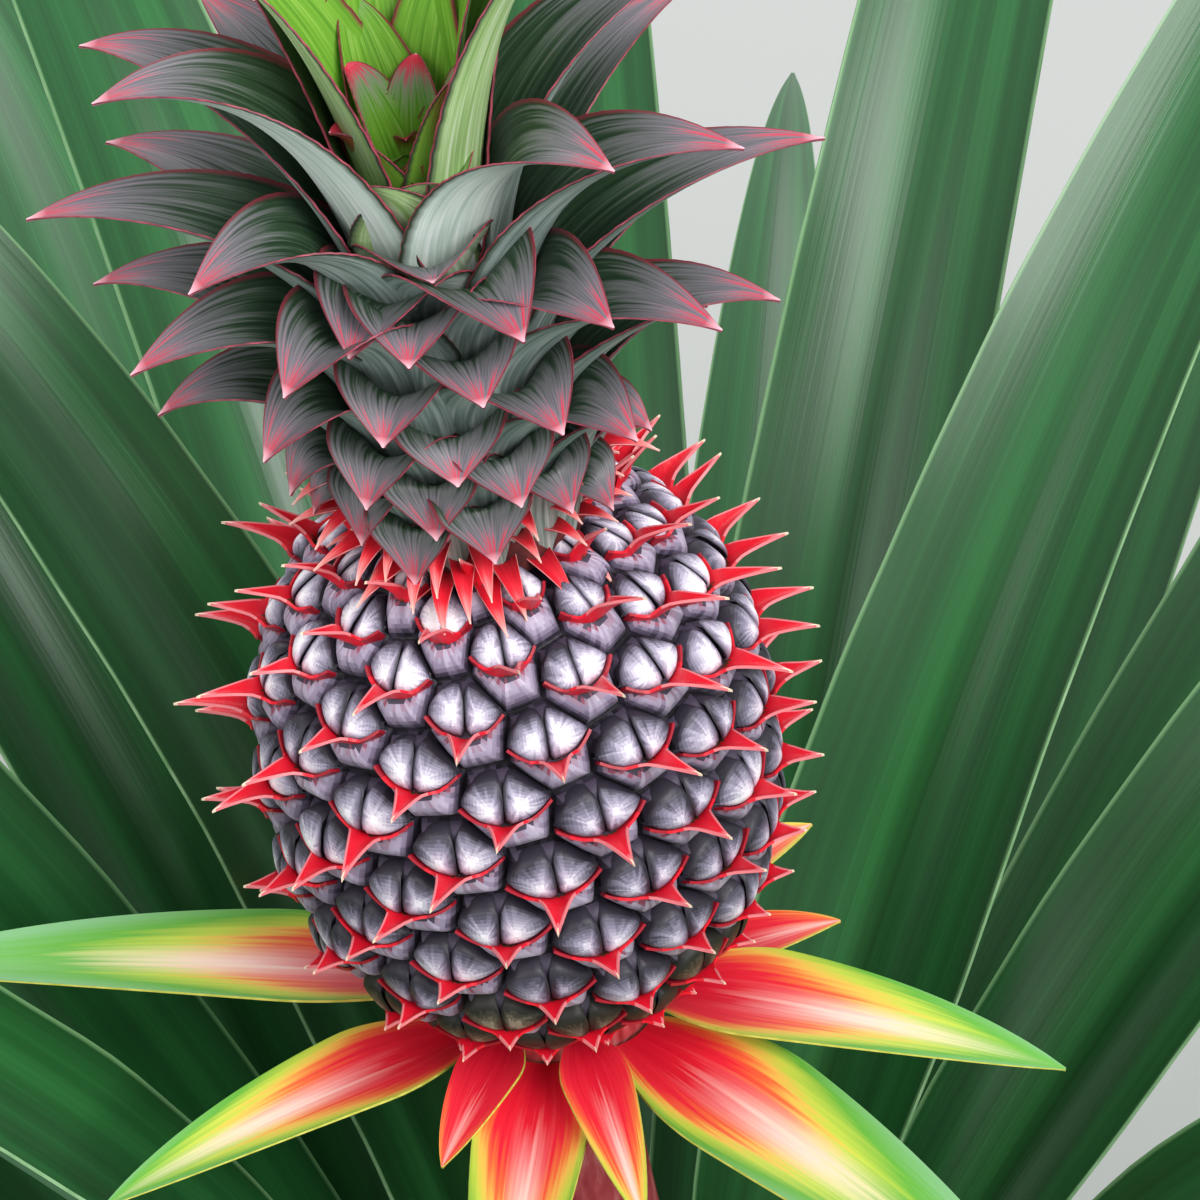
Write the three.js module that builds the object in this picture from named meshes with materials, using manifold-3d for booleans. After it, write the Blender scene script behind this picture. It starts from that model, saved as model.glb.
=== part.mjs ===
// Pineapple plant in fruit, rooted in the ground, as a scene graph of named closed solids.
// Millimetres, +Z up. The origin is the middle of the flat cut under the stem, at ground level.
// The front of the plant is -Y. The fruit leans a little to -X on its stalk.
import * as THREE from "three";
import { mergeVertices } from "three/addons/utils/BufferGeometryUtils.js";
import Module from "manifold-3d";

const wasm = await Module();
wasm.setup();

// One spiral runs through the whole plant: the angle from each leaf, bract or fruitlet to the next
const DIVERGENCE = -137.50776;
// Clear gap between two pieces that touch on the real plant
const GAP = 0.35;

// Stem: a short club with a flare at the ground, as pairs of height and radius
const STEM_HEIGHT = 268;
const STEM_GIRTH = [
  [0, 33],
  [10, 28],
  [40, 23],
  [110, 25],
  [200, 29],
  [235, 27],
  [258, 20],
  [STEM_HEIGHT, 15],
];
const STEM_SIDES = 16;

// Every blade: where it reaches its full width, how full its outline stays before the tip and how
// bluntly it closes there, and how its keel thins from the foot to its least share of the thickness
const SWELL_SHARE = 0.3;
const FULLNESS = 2.1;
const BLUNTNESS = 0.85;
const KEEL_THINNING = 0.75;
const KEEL_LEAST = 0.3;
// How much later than evenly a blade bends over
const ARCH_DELAY = 1.5;

// Rosette leaves. Each pair runs from the lowest and oldest leaf to the highest and youngest.
const LEAF_COUNT = 36;
const LEAF_START = 278;
const LEAF_FOOT = [36, 246];
const LEAF_LIFT = [26, 72];
const LEAF_ARCH = [50, 66];
const LIFT_DELAY = 0.8;
const LEAF_WIDTH = 60;
const LEAF_STEPS = 10;
const LEAF_BLADE = { fold: 22, base: 0.36, tip: 0.03 };
const THICKNESS_SHARE = 0.01;
// The longest leaves are of this age, and older and younger ones are shorter by a square law
const LEAF_LONGEST = 860;
const LONGEST_AGE = 0.45;
const LEAF_SHORTENING = 1350;
// Younger leaves at the front hang lower, so that the fruit shows
const FRONT_LOWERED = 24;
// Small departures from the even spiral: how far, and the place in the even spread that they start from
const HEADING_SWAY = { reach: 8.5, seed: 118 };
const LIFT_SWAY = { reach: 4, seed: 41 };
const LENGTH_SWAY = { reach: 30, seed: 1 };
const SIDE_SWAY = { reach: 4, seed: 3 };

// Fruit stalk and the lean of all that it carries
const LEAN = 6.5;
const FRUIT_CENTRE = 220;
const AXIS_START = 250;
const STALK_FOOT_RADIUS = 14;
const STALK_RADIUS = 11.5;
const STALK_SIDES = 14;
const STALK_STEPS = 6;

// Fruit: a barrel whose outline is a superellipse, cut off where the crown and the collar sit
const FRUIT_RADIUS = 46;
const FRUIT_HEIGHT = 114;
const FRUIT_SQUARENESS = 2.5;
const FRUIT_BOTTOM = -50;
const FRUIT_TOP = 51;
const FRUIT_SEAT_RADIUS = 19;

// Fruitlets rise evenly along the barrel; number 0 faces the front, and the widest ring lies
// between two whole numbers. None has its middle closer to an end than the margin.
const FRUITLET_RISE = 0.76;
const FRUITLET_FACING = 2.3;
const WIDEST_INDEX = -28.8;
const END_MARGIN = 1;
// Past both ends the spiral rises only this much a fruitlet, to place the outermost corners
const PAST_END_RISE = 0.12;
// Fruitlets that touch are these numbers apart
const NEAR = 8;
const MIDDLE = 13;
const FAR = 21;
// Relief of one fruitlet: groove round it, edge of its raised face, its eye, and its bract's spine
const GROOVE_DEPTH = 4;
const FACE_SHARE = 0.62;
const FACE_EDGE = -0.6;
const EYE_HEIGHT = 1.4;
const SPINE_REACH = 12.5;
const SPINE_DROP = 0.62;
const RELIEF_LEAST = 0.35;
// Share of the full spine by height on the barrel
const SPINE_SHARE = [
  [FRUIT_BOTTOM, 0.3],
  [-38, 0.55],
  [-15, 1],
  [30, 1],
  [FRUIT_TOP, 0.75],
];
// Steps by which the barrel's outline is followed and its slope is taken
const ARC_STEP = 0.1;
const SLOPE_STEP = 0.05;

// Widening top of the stalk, in the fruit's frame, as pairs of height and radius
const RECEPTACLE = [
  [-92, STALK_RADIUS],
  [-76, 13],
  [-66, 18],
  [-60, 21],
  [FRUIT_BOTTOM - GAP, FRUIT_SEAT_RADIUS],
];
const RECEPTACLE_SIDES = 16;

// Collar of bracts under the fruit: heading from +X, length, width, lift at the foot
const COLLAR = [
  [182, 112, 27, 14],
  [214, 76, 23, 10],
  [246, 30, 14, -2],
  [264, 78, 23, 3],
  [284, 46, 14, 2],
  [312, 112, 30, 4],
  [337, 80, 25, 6],
  [4, 34, 17, 16],
  [34, 40, 20, 4],
  [66, 50, 22, 8],
  [98, 60, 24, 6],
  [140, 46, 22, 6],
];
const COLLAR_ARCH = 12;
const COLLAR_STEPS = 6;
const COLLAR_BLADE = { fold: 14, base: 0.4, tip: 0.05, thick: 1.6 };
// Bracts sit in turn on an upper and a lower ring
const COLLAR_SEATS = [-55.5, -60.5];

// Crown: a leafy shoot on top of the fruit, leaning a little to the left and to the front.
// Its leaves are set from the lowest (share 0) to the innermost (share 1).
const CROWN_LEAN = { left: 0.5, front: 4.8 };
const CROWN_COUNT = 66;
const CROWN_START = 38;
const CROWN_CORE_HEIGHT = 72;
const CROWN_CORE_POINT = 5;
const CROWN_CORE_ROWS = 4;
const CROWN_CORE_SIDES = 12;
const CROWN_CORE = [
  [0, 19],
  [0.5, 17],
  [1, 8],
];
const CROWN_FOOT = [4, 70];
const CROWN_FOOT_SUNK = 4;
const CROWN_TIP_REACH = [
  [0, 27],
  [0.2, 54],
  [0.45, 66],
  [0.75, 49],
  [1, 32],
];
const CROWN_TIP_HEIGHT = [
  [0, 20],
  [0.2, 38],
  [0.45, 63],
  [0.75, 91],
  [1, 126],
];
const CROWN_LEAF_WIDTH = [
  [0, 18],
  [0.3, 25],
  [0.7, 25],
  [1, 15],
];
// A leaf's crest lies this share of the way out, and this share of its reach above its tip
const CREST_OUT = 0.62;
const CREST_RISE = 0.16;
const CROWN_BLADE = { fold: 22, base: 0.85, tip: 0.06, thick: 2.4 };
const CROWN_LEAF_STEPS = 4;
// Edges shorter than this are merged once the leaves are joined to the core
const CROWN_MERGE = 0.05;

const rad = THREE.MathUtils.degToRad;
const mix = THREE.MathUtils.lerp;
const clamp = THREE.MathUtils.clamp;

// Value at x on a line through [x, value] pairs
function along(pairs, x) {
  const next = pairs.findIndex((pair) => pair[0] >= x);
  if (next === 0) return pairs[0][1];
  if (next < 0) return pairs[pairs.length - 1][1];
  const [x0, v0] = pairs[next - 1];
  const [x1, v1] = pairs[next];
  return mix(v0, v1, (x - x0) / (x1 - x0));
}

// Even spread of numbers from -1 to 1, one for each leaf, by the steps of the plastic number
function sway(index, seed) {
  return 2 * ((index * 0.7548776662 + seed * 0.569840291) % 1) - 1;
}

// Point at a radius and height, in a direction in radians
function polar(angle, radius, height) {
  return new THREE.Vector3(radius * Math.cos(angle), radius * Math.sin(angle), height);
}

function signedVolume(points, faces) {
  let sum = 0;
  for (const [a, b, c] of faces) {
    sum += points[a].dot(points[b].clone().cross(points[c]));
  }
  return sum / 6;
}

// Closed geometry from points and triangles, its faces turned outwards
function closed(points, faces) {
  const outward = signedVolume(points, faces) > 0;
  const places = points.flatMap((point) => point.toArray());
  const geometry = new THREE.BufferGeometry();
  geometry.setAttribute("position", new THREE.Float32BufferAttribute(places, 3));
  geometry.setIndex(faces.flatMap(([a, b, c]) => (outward ? [a, b, c] : [a, c, b])));
  geometry.computeVertexNormals();
  return geometry;
}

// Skin over a row of rings with the same number of points, closed at both ends
function loft(rings) {
  const sides = rings[0].length;
  const faces = [];
  for (let row = 0; row + 1 < rings.length; row++) {
    for (let side = 0; side < sides; side++) {
      const a = row * sides + side;
      const b = row * sides + ((side + 1) % sides);
      faces.push([a, b, b + sides], [a, b + sides, a + sides]);
    }
  }
  const last = (rings.length - 1) * sides;
  for (let side = 1; side + 1 < sides; side++) {
    faces.push([0, side + 1, side], [last, last + side, last + side + 1]);
  }
  return closed(rings.flat(), faces);
}

// Round limb along a curve, its radius given for each share of the way
function limb(curve, radiusAt, sides, steps) {
  const frames = curve.computeFrenetFrames(steps, false);
  const rings = [];
  for (let step = 0; step <= steps; step++) {
    const centre = curve.getPointAt(step / steps);
    const radius = radiusAt(step / steps);
    const ring = [];
    for (let side = 0; side < sides; side++) {
      const angle = (2 * Math.PI * side) / sides;
      const point = centre.clone();
      point.addScaledVector(frames.normals[step], radius * Math.cos(angle));
      point.addScaledVector(frames.binormals[step], radius * Math.sin(angle));
      ring.push(point);
    }
    rings.push(ring);
  }
  return loft(rings);
}

// Solid of revolution about +Z from pairs of height and radius, ending in a point or a flat
function turned(profile, sides) {
  const outline = profile.map(([height, radius]) => new THREE.Vector2(radius, height));
  outline.unshift(new THREE.Vector2(0, outline[0].y));
  if (outline[outline.length - 1].x > 0) {
    outline.push(new THREE.Vector2(0, outline[outline.length - 1].y));
  }
  const geometry = new THREE.LatheGeometry(outline, sides);
  geometry.deleteAttribute("uv");
  geometry.rotateX(Math.PI / 2);
  return geometry;
}

// Midline of a leaf that leaves its foot in a heading, rises by its lift and arches over
function archedLine({ foot, heading, length, lift, arch, sideways = 0, steps }) {
  const line = [foot.clone()];
  for (let step = 0; step < steps; step++) {
    const share = (step + 0.5) / steps;
    const slope = rad(lift - arch * share ** ARCH_DELAY);
    const forward = polar(rad(heading + sideways * share), Math.cos(slope), Math.sin(slope));
    line.push(line[step].clone().addScaledVector(forward, length / steps));
  }
  return line;
}

// Gutter-shaped blade with a keel, as rings of left edge, channel, right edge and keel.
// base and tip are its widths at the ends as shares of the full width.
function bladeRings(line, { width, fold, base, tip, thick }) {
  const last = line.length - 1;
  return line.map((middle, step) => {
    const share = step / last;
    const forward = line[Math.min(step + 1, last)].clone();
    forward.sub(line[Math.max(step - 1, 0)]).normalize();
    const across = new THREE.Vector3(-forward.y, forward.x, 0).normalize();
    const up = forward.clone().cross(across);
    const swell = mix(base, 1, Math.sin((Math.PI / 2) * Math.min(1, share / SWELL_SHARE)));
    const half = 0.5 * width * swell * Math.max(tip, (1 - share ** FULLNESS) ** BLUNTNESS);
    const depth = thick * Math.max(KEEL_LEAST, 1 - KEEL_THINNING * share);
    const edge = (side) => {
      const point = middle.clone().addScaledVector(across, side * half * Math.cos(rad(fold)));
      return point.addScaledVector(up, half * Math.sin(rad(fold)));
    };
    return [edge(-1), middle.clone(), edge(1), middle.clone().addScaledVector(up, -depth)];
  });
}

// Least distance from a blade's foot to the round thing it grows on
function footClearance(rings, radiusAt) {
  const samples = 4;
  let least = Infinity;
  for (const ring of rings.slice(0, 2)) {
    ring.forEach((from, corner) => {
      const to = ring[(corner + 1) % ring.length];
      for (let sample = 0; sample < samples; sample++) {
        const point = from.clone().lerp(to, sample / samples);
        least = Math.min(least, Math.hypot(point.x, point.y) - radiusAt(point.z));
      }
    });
  }
  return least;
}

// Moves a blade out along its heading, a few times over, until its foot just clears that thing
function seat(rings, heading, radiusAt) {
  const out = polar(rad(heading), 1, 0);
  const turns = 12;
  for (let turn = 0; turn < turns; turn++) {
    const shift = GAP - footClearance(rings, radiusAt);
    for (const point of rings.flat()) {
      point.addScaledVector(out, shift);
    }
  }
  return rings;
}

function material(color, roughness) {
  return new THREE.MeshStandardMaterial({ color, roughness, metalness: 0 });
}

function piece(name, geometry, finish) {
  const mesh = new THREE.Mesh(geometry, finish);
  mesh.name = name;
  return mesh;
}

// Name of one of many like pieces, counted from 01
function numbered(name, index) {
  return `${name}_${String(index + 1).padStart(2, "0")}`;
}

// Solid for joining, from a closed geometry
function solidOf(geometry) {
  const shape = geometry.clone();
  shape.deleteAttribute("normal");
  const merged = mergeVertices(shape, 1e-4);
  return new wasm.Manifold(
    new wasm.Mesh({
      numProp: 3,
      vertProperties: merged.attributes.position.array,
      triVerts: new Uint32Array(merged.index.array),
    }),
  );
}

function geometryOf(solid) {
  const mesh = solid.getMesh();
  const geometry = new THREE.BufferGeometry();
  geometry.setAttribute("position", new THREE.BufferAttribute(mesh.vertProperties, 3));
  geometry.setIndex(new THREE.BufferAttribute(mesh.triVerts, 1));
  geometry.computeVertexNormals();
  return geometry;
}

// Stem, from its flat cut at the ground to the fruit stalk
function stemGeometry() {
  const rings = STEM_GIRTH.map(([height, radius]) => {
    const ring = [];
    for (let side = 0; side < STEM_SIDES; side++) {
      ring.push(polar((2 * Math.PI * side) / STEM_SIDES, radius, height));
    }
    return ring;
  });
  return loft(rings);
}

// Rosette leaf number index, seated on the stem
function leafGeometry(index) {
  const age = index / (LEAF_COUNT - 1);
  const departure = ({ reach, seed }) => reach * sway(index, seed);
  const heading = LEAF_START + index * DIVERGENCE + departure(HEADING_SWAY);
  const facing = Math.max(0, Math.cos(rad(heading + 90))) ** 2;
  const lift = mix(...LEAF_LIFT, age ** LIFT_DELAY) - FRONT_LOWERED * age * facing;
  const shortening = LEAF_SHORTENING * (age - LONGEST_AGE) ** 2;
  const length = LEAF_LONGEST - shortening + departure(LENGTH_SWAY);
  const line = archedLine({
    foot: new THREE.Vector3(0, 0, mix(...LEAF_FOOT, age)),
    heading,
    length,
    lift: lift + departure(LIFT_SWAY),
    arch: mix(...LEAF_ARCH, age),
    sideways: departure(SIDE_SWAY),
    steps: LEAF_STEPS,
  });
  const rings = bladeRings(line, { ...LEAF_BLADE, width: LEAF_WIDTH, thick: THICKNESS_SHARE * length });
  return loft(seat(rings, heading, (height) => along(STEM_GIRTH, height)));
}

// Stalk, from the stem's top to the receptacle, bending from upright into the lean
function stalkGeometry(axis) {
  const foot = new THREE.Vector3(0, 0, STEM_HEIGHT + GAP);
  const head = new THREE.Vector3(0, 0, AXIS_START);
  head.addScaledVector(axis, FRUIT_CENTRE + RECEPTACLE[0][0] - GAP);
  const bend = foot.distanceTo(head) / 3;
  const spine = new THREE.CubicBezierCurve3(
    foot,
    foot.clone().setZ(foot.z + bend),
    head.clone().addScaledVector(axis, -bend),
    head,
  );
  const radiusAt = (share) => mix(STALK_FOOT_RADIUS, STALK_RADIUS, Math.min(1, share * 2));
  return limb(spine, radiusAt, STALK_SIDES, STALK_STEPS);
}

// Radius of the barrel's outline at a height from its middle
function barrelRadius(height) {
  const share = Math.min(1, Math.abs((2 * height) / FRUIT_HEIGHT));
  return FRUIT_RADIUS * Math.sqrt(1 - share ** FRUIT_SQUARENESS);
}

function barrelSlope(height) {
  return (barrelRadius(height + SLOPE_STEP) - barrelRadius(height - SLOPE_STEP)) / (2 * SLOPE_STEP);
}

// Height that a way along the outline leads to, counted up or down from the widest ring
function barrelHeight(way) {
  let height = 0;
  for (let gone = 0; gone < Math.abs(way); gone += ARC_STEP) {
    height += (Math.sign(way) * ARC_STEP) / Math.hypot(1, barrelSlope(height));
    if (height < FRUIT_BOTTOM || height > FRUIT_TOP) return height;
  }
  return height;
}

// Number of the last fruitlet that fits on the barrel, going up (1) or down (-1) from the widest ring
function lastFruitlet(direction) {
  const fits = (n) => {
    const height = barrelHeight((n - WIDEST_INDEX) * FRUITLET_RISE);
    return height > FRUIT_BOTTOM + END_MARGIN && height < FRUIT_TOP - END_MARGIN;
  };
  let n = Math.round(WIDEST_INDEX);
  while (fits(n + direction)) {
    n += direction;
  }
  return n;
}

const LOWEST = lastFruitlet(-1);
const HIGHEST = lastFruitlet(1);

// Where fruitlet n sits: its direction from the axis, its height and the barrel's radius there
function fruitletSeat(n) {
  const inside = clamp(n, LOWEST, HIGHEST);
  const height = barrelHeight((inside - WIDEST_INDEX) * FRUITLET_RISE) + PAST_END_RISE * (n - inside);
  const angle = rad(-90 + FRUITLET_FACING + n * DIVERGENCE);
  return { angle, height, radius: barrelRadius(height) };
}

// Fruitlets are flatter near both ends of the barrel
function relief(height) {
  return clamp(barrelRadius(height) / FRUIT_RADIUS, RELIEF_LEAST, 1);
}

// Fruit: each fruitlet is a six-cornered boss in its groove with one bract spine under its eye
function fruitGeometry() {
  const points = [];
  const faces = [];
  const corners = new Map();
  // A corner lies in the groove between three fruitlets
  const corner = (...three) => {
    const key = three.join();
    if (!corners.has(key)) {
      const middle = new THREE.Vector3();
      for (const { angle, height, radius } of three.map(fruitletSeat)) {
        middle.addScaledVector(polar(angle, radius, height), 1 / 3);
      }
      const depth = GROOVE_DEPTH * relief(middle.z);
      const radius = barrelRadius(middle.z) - depth;
      corners.set(key, points.push(polar(Math.atan2(middle.y, middle.x), radius, middle.z)) - 1);
    }
    return corners.get(key);
  };
  for (let n = LOWEST; n <= HIGHEST; n++) {
    const { angle, height, radius } = fruitletSeat(n);
    const size = relief(height);
    const ring = [
      corner(n, n + NEAR, n + FAR),
      corner(n, n + MIDDLE, n + FAR),
      corner(n - NEAR, n, n + MIDDLE),
      corner(n - FAR, n - NEAR, n),
      corner(n - FAR, n - MIDDLE, n),
      corner(n - MIDDLE, n, n + NEAR),
    ];
    const eye = polar(angle, radius, height);
    const normal = polar(angle, 1, -barrelSlope(height)).normalize();
    const lifted = (point, share, rise) =>
      points.push(eye.clone().lerp(point, share).addScaledVector(normal, rise)) - 1;
    const rise = size * (FACE_EDGE + FACE_SHARE * GROOVE_DEPTH);
    const edge = ring.map((index) => lifted(points[index], FACE_SHARE, rise));
    const top = lifted(eye, 0, size * EYE_HEIGHT);
    const low = points[ring[3]].clone().lerp(points[ring[4]], 0.5);
    const spine = lifted(low, SPINE_DROP, SPINE_REACH * along(SPINE_SHARE, height));
    for (let side = 0; side < 6; side++) {
      const next = (side + 1) % 6;
      faces.push([ring[side], ring[next], edge[next]], [ring[side], edge[next], edge[side]]);
      if (side !== 3) faces.push([edge[side], edge[next], top]);
    }
    faces.push([edge[3], spine, top], [spine, edge[4], top], [edge[3], edge[4], spine]);
  }
  closeRims(points, faces);
  return closed(points, faces);
}

// Edges that only one triangle uses, as a map from each point to the one before it
function openEdges(faces) {
  const open = new Map();
  for (const [a, b, c] of faces) {
    for (const [from, to] of [[a, b], [b, c], [c, a]]) {
      if (!open.delete(`${to},${from}`)) open.set(`${from},${to}`, [to, from]);
    }
  }
  return new Map(open.values());
}

// Closes each open rim with a ring on the seat's circle and a flat disc
function closeRims(points, faces) {
  const follow = openEdges(faces);
  while (follow.size) {
    const rim = [];
    let at = follow.keys().next().value;
    while (follow.has(at)) {
      const to = follow.get(at);
      follow.delete(at);
      rim.push(at);
      at = to;
    }
    const level = points[rim[0]].z < 0 ? FRUIT_BOTTOM : FRUIT_TOP;
    const disc = rim.map((index) => {
      const angle = Math.atan2(points[index].y, points[index].x);
      return points.push(polar(angle, FRUIT_SEAT_RADIUS, level)) - 1;
    });
    rim.forEach((index, k) => {
      const after = (k + 1) % rim.length;
      faces.push([index, rim[after], disc[after]], [index, disc[after], disc[k]]);
    });
    for (let k = 1; k + 1 < disc.length; k++) {
      faces.push([disc[0], disc[k], disc[k + 1]]);
    }
  }
}

// A crown leaf rises from the core, arches over and points out and down at its tip
function crownLeafRings(share, heading) {
  const at = (radius, height) => polar(rad(heading), radius, height);
  const reach = along(CROWN_TIP_REACH, share);
  const height = along(CROWN_TIP_HEIGHT, share);
  const foot = at(along(CROWN_CORE, share) - CROWN_FOOT_SUNK, mix(...CROWN_FOOT, share));
  const crest = at(
    mix(CROWN_CORE[0][1], reach, CREST_OUT),
    height + CREST_RISE * reach * (1 - share),
  );
  const line = new THREE.QuadraticBezierCurve3(foot, crest, at(reach, height));
  const width = along(CROWN_LEAF_WIDTH, share);
  return bladeRings(line.getPoints(CROWN_LEAF_STEPS), { ...CROWN_BLADE, width });
}

// Crown: a core with leaves sunk into it, short scales below and long blades above
function crownGeometry() {
  const profile = [];
  for (let row = 0; row <= CROWN_CORE_ROWS; row++) {
    const share = row / CROWN_CORE_ROWS;
    profile.push([CROWN_CORE_HEIGHT * share, along(CROWN_CORE, share)]);
  }
  profile.push([CROWN_CORE_HEIGHT + CROWN_CORE_POINT, 0]);
  const parts = [solidOf(turned(profile, CROWN_CORE_SIDES))];
  for (let index = 0; index < CROWN_COUNT; index++) {
    const share = index / (CROWN_COUNT - 1);
    parts.push(solidOf(loft(crownLeafRings(share, CROWN_START + index * DIVERGENCE))));
  }
  return geometryOf(wasm.Manifold.union(parts).simplify(CROWN_MERGE));
}

// Bract number index of the collar, seated on the receptacle
function bractGeometry([heading, length, width, lift], index) {
  const foot = new THREE.Vector3(0, 0, COLLAR_SEATS[index % 2]);
  const line = archedLine({ foot, heading, length, lift, arch: COLLAR_ARCH, steps: COLLAR_STEPS });
  const rings = bladeRings(line, { ...COLLAR_BLADE, width });
  return loft(seat(rings, heading, (height) => along(RECEPTACLE, height)));
}

// Unit vector up the leaning fruit
const axis = new THREE.Vector3(-Math.sin(rad(LEAN)), 0, Math.cos(rad(LEAN)));

const plant = new THREE.Group();
plant.add(piece("stem", stemGeometry(), material(0x8d8560, 0.85)));
plant.add(piece("stalk", stalkGeometry(axis), material(0xb4636b, 0.6)));
for (let index = 0; index < LEAF_COUNT; index++) {
  plant.add(piece(numbered("leaf", index), leafGeometry(index), material(0x2f5f35, 0.45)));
}

// The fruit's own frame: its middle is the origin and its axis is +Z
const fruitFrame = new THREE.Group();
fruitFrame.position.set(0, 0, AXIS_START).addScaledVector(axis, FRUIT_CENTRE);
fruitFrame.rotation.y = -rad(LEAN);
fruitFrame.add(piece("receptacle", turned(RECEPTACLE, RECEPTACLE_SIDES), material(0xb9474c, 0.6)));
fruitFrame.add(piece("fruit", fruitGeometry(), material(0x8b7f96, 0.5)));
COLLAR.forEach((bract, index) => {
  const name = numbered("bract", index);
  fruitFrame.add(piece(name, bractGeometry(bract, index), material(0xc8433a, 0.5)));
});

// The crown is raised by what the lean lowers its front edge, so that it just clears the fruit
const crownFrame = new THREE.Group();
const loweredEdge = CROWN_CORE[0][1] * Math.sin(rad(CROWN_LEAN.front));
crownFrame.position.z = FRUIT_TOP + GAP + loweredEdge;
crownFrame.rotation.set(rad(CROWN_LEAN.front), -rad(CROWN_LEAN.left), 0);
crownFrame.add(piece("crown", crownGeometry(), material(0x4d6647, 0.55)));
fruitFrame.add(crownFrame);
plant.add(fruitFrame);

export default plant;
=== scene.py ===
import math
import random

import bpy
from mathutils import Matrix, Vector


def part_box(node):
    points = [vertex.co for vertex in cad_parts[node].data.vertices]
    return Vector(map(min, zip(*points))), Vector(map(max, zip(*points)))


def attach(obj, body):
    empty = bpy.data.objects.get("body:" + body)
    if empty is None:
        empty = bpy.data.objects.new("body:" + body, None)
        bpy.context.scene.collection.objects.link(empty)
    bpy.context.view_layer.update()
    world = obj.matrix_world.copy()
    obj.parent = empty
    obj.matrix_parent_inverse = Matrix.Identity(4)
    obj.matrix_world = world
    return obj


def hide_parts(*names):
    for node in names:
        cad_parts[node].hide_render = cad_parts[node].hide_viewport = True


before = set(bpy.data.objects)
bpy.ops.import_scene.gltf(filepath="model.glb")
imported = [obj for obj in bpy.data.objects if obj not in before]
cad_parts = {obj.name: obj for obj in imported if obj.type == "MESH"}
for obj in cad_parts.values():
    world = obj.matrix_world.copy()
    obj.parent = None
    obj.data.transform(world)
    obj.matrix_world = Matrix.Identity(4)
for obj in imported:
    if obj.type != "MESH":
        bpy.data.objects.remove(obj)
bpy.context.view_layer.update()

# The photo's view
# The photo looks down on the fruit at 38 degrees from a little over half a metre, through a short
# telephoto lens, and the fruit's middle lies left of and below the middle of its 1200 by 1200 frame.
MM = 0.001
PHOTO_SIDE = 1200
PIXEL = 0.18 * MM
FRUIT_PIXEL = (518, 743)
VIEW_ELEVATION = math.radians(38.3)
VIEW_DISTANCE = 637 * MM
SENSOR = 36

# The fruit leans to the left from a point on the plant's axis
LEAN = math.radians(6.5)
LEAN_POINT = Vector((0, 0, 250 * MM))
FRUIT_OFF_POINT = 220 * MM
FRUIT_MIDDLE = LEAN_POINT + FRUIT_OFF_POINT * Vector((-math.sin(LEAN), 0, math.cos(LEAN)))

bpy.ops.object.camera_add(rotation=(math.pi / 2 - VIEW_ELEVATION, 0, 0))
camera = bpy.context.object
camera.name = "photo_view"
turn = camera.rotation_euler.to_matrix()
offset = Vector((
    (PHOTO_SIDE / 2 - FRUIT_PIXEL[0]) * PIXEL,
    (FRUIT_PIXEL[1] - PHOTO_SIDE / 2) * PIXEL,
    VIEW_DISTANCE,
))
camera.location = FRUIT_MIDDLE + turn @ offset
camera.data.sensor_width = SENSOR
camera.data.lens = SENSOR * VIEW_DISTANCE / (PHOTO_SIDE * PIXEL)
camera.data.clip_start = 0.01
camera.data.clip_end = 50
bpy.context.scene.camera = camera


# Stem
# The short, club-shaped stem stands in the ground and carries every leaf. Its rind is brown-green and
# fibrous, ringed by the narrow scars that fallen leaves left. It ends in the fruit's stalk.
def deselect():
    bpy.ops.object.select_all(action="DESELECT")


def smooth(degrees):
    """Smooths the active piece. Edges that bend by more than this stay sharp."""
    bpy.ops.object.shade_smooth_by_angle(angle=math.radians(degrees))


def srgb(colour):
    """A colour written as #rrggbb, turned to the linear values that a shader takes."""
    linear = []
    for start in (1, 3, 5):
        part = int(colour[start:start + 2], 16) / 255
        linear.append(part / 12.92 if part <= 0.04045 else ((part + 0.055) / 1.055) ** 2.4)
    return (*linear, 1.0)


def new_material(name, **settings):
    """A material of one Principled shader, its sockets set by name with _ for a space."""
    made = bpy.data.materials.new(name)
    made.use_nodes = True
    shader = made.node_tree.nodes["Principled BSDF"]
    for socket, value in settings.items():
        shader.inputs[socket.replace("_", " ")].default_value = value
    return made, made.node_tree, shader


def add_node(tree, kind, inputs=(), **settings):
    """Adds a node with its settings. An input takes a value, or a link from another node's output."""
    made = tree.nodes.new("ShaderNode" + kind)
    for name, value in settings.items():
        setattr(made, name, value)
    for socket, value in dict(inputs).items():
        if isinstance(value, bpy.types.NodeSocket):
            tree.links.new(value, made.inputs[socket])
        else:
            made.inputs[socket].default_value = value
    return made


def ramp(tree, value, stops):
    """Colours along a value, from (place, colour) pairs."""
    made = add_node(tree, "ValToRGB", {"Fac": value})
    elements = made.color_ramp.elements
    while len(elements) < len(stops):
        elements.new(0.5)
    for element, (place, colour) in zip(elements, stops):
        element.position = place
        element.color = srgb(colour)
    return made.outputs["Color"]


def grain(tree, place, scale, detail):
    """Noise on some coordinates, with that many features to a unit of each of their axes."""
    stretch = add_node(tree, "Mapping", {"Vector": place, "Scale": scale})
    noise = add_node(tree, "TexNoise", {"Vector": stretch.outputs["Vector"], "Scale": 1, "Detail": detail})
    return noise.outputs["Fac"]


def emboss(tree, shader, height, strength, depth):
    """Gives a shader the relief of a pattern, its depth in millimetres."""
    bump = add_node(tree, "Bump", {"Height": height, "Strength": strength, "Distance": depth * MM})
    tree.links.new(bump.outputs["Normal"], shader.inputs["Normal"])


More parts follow.
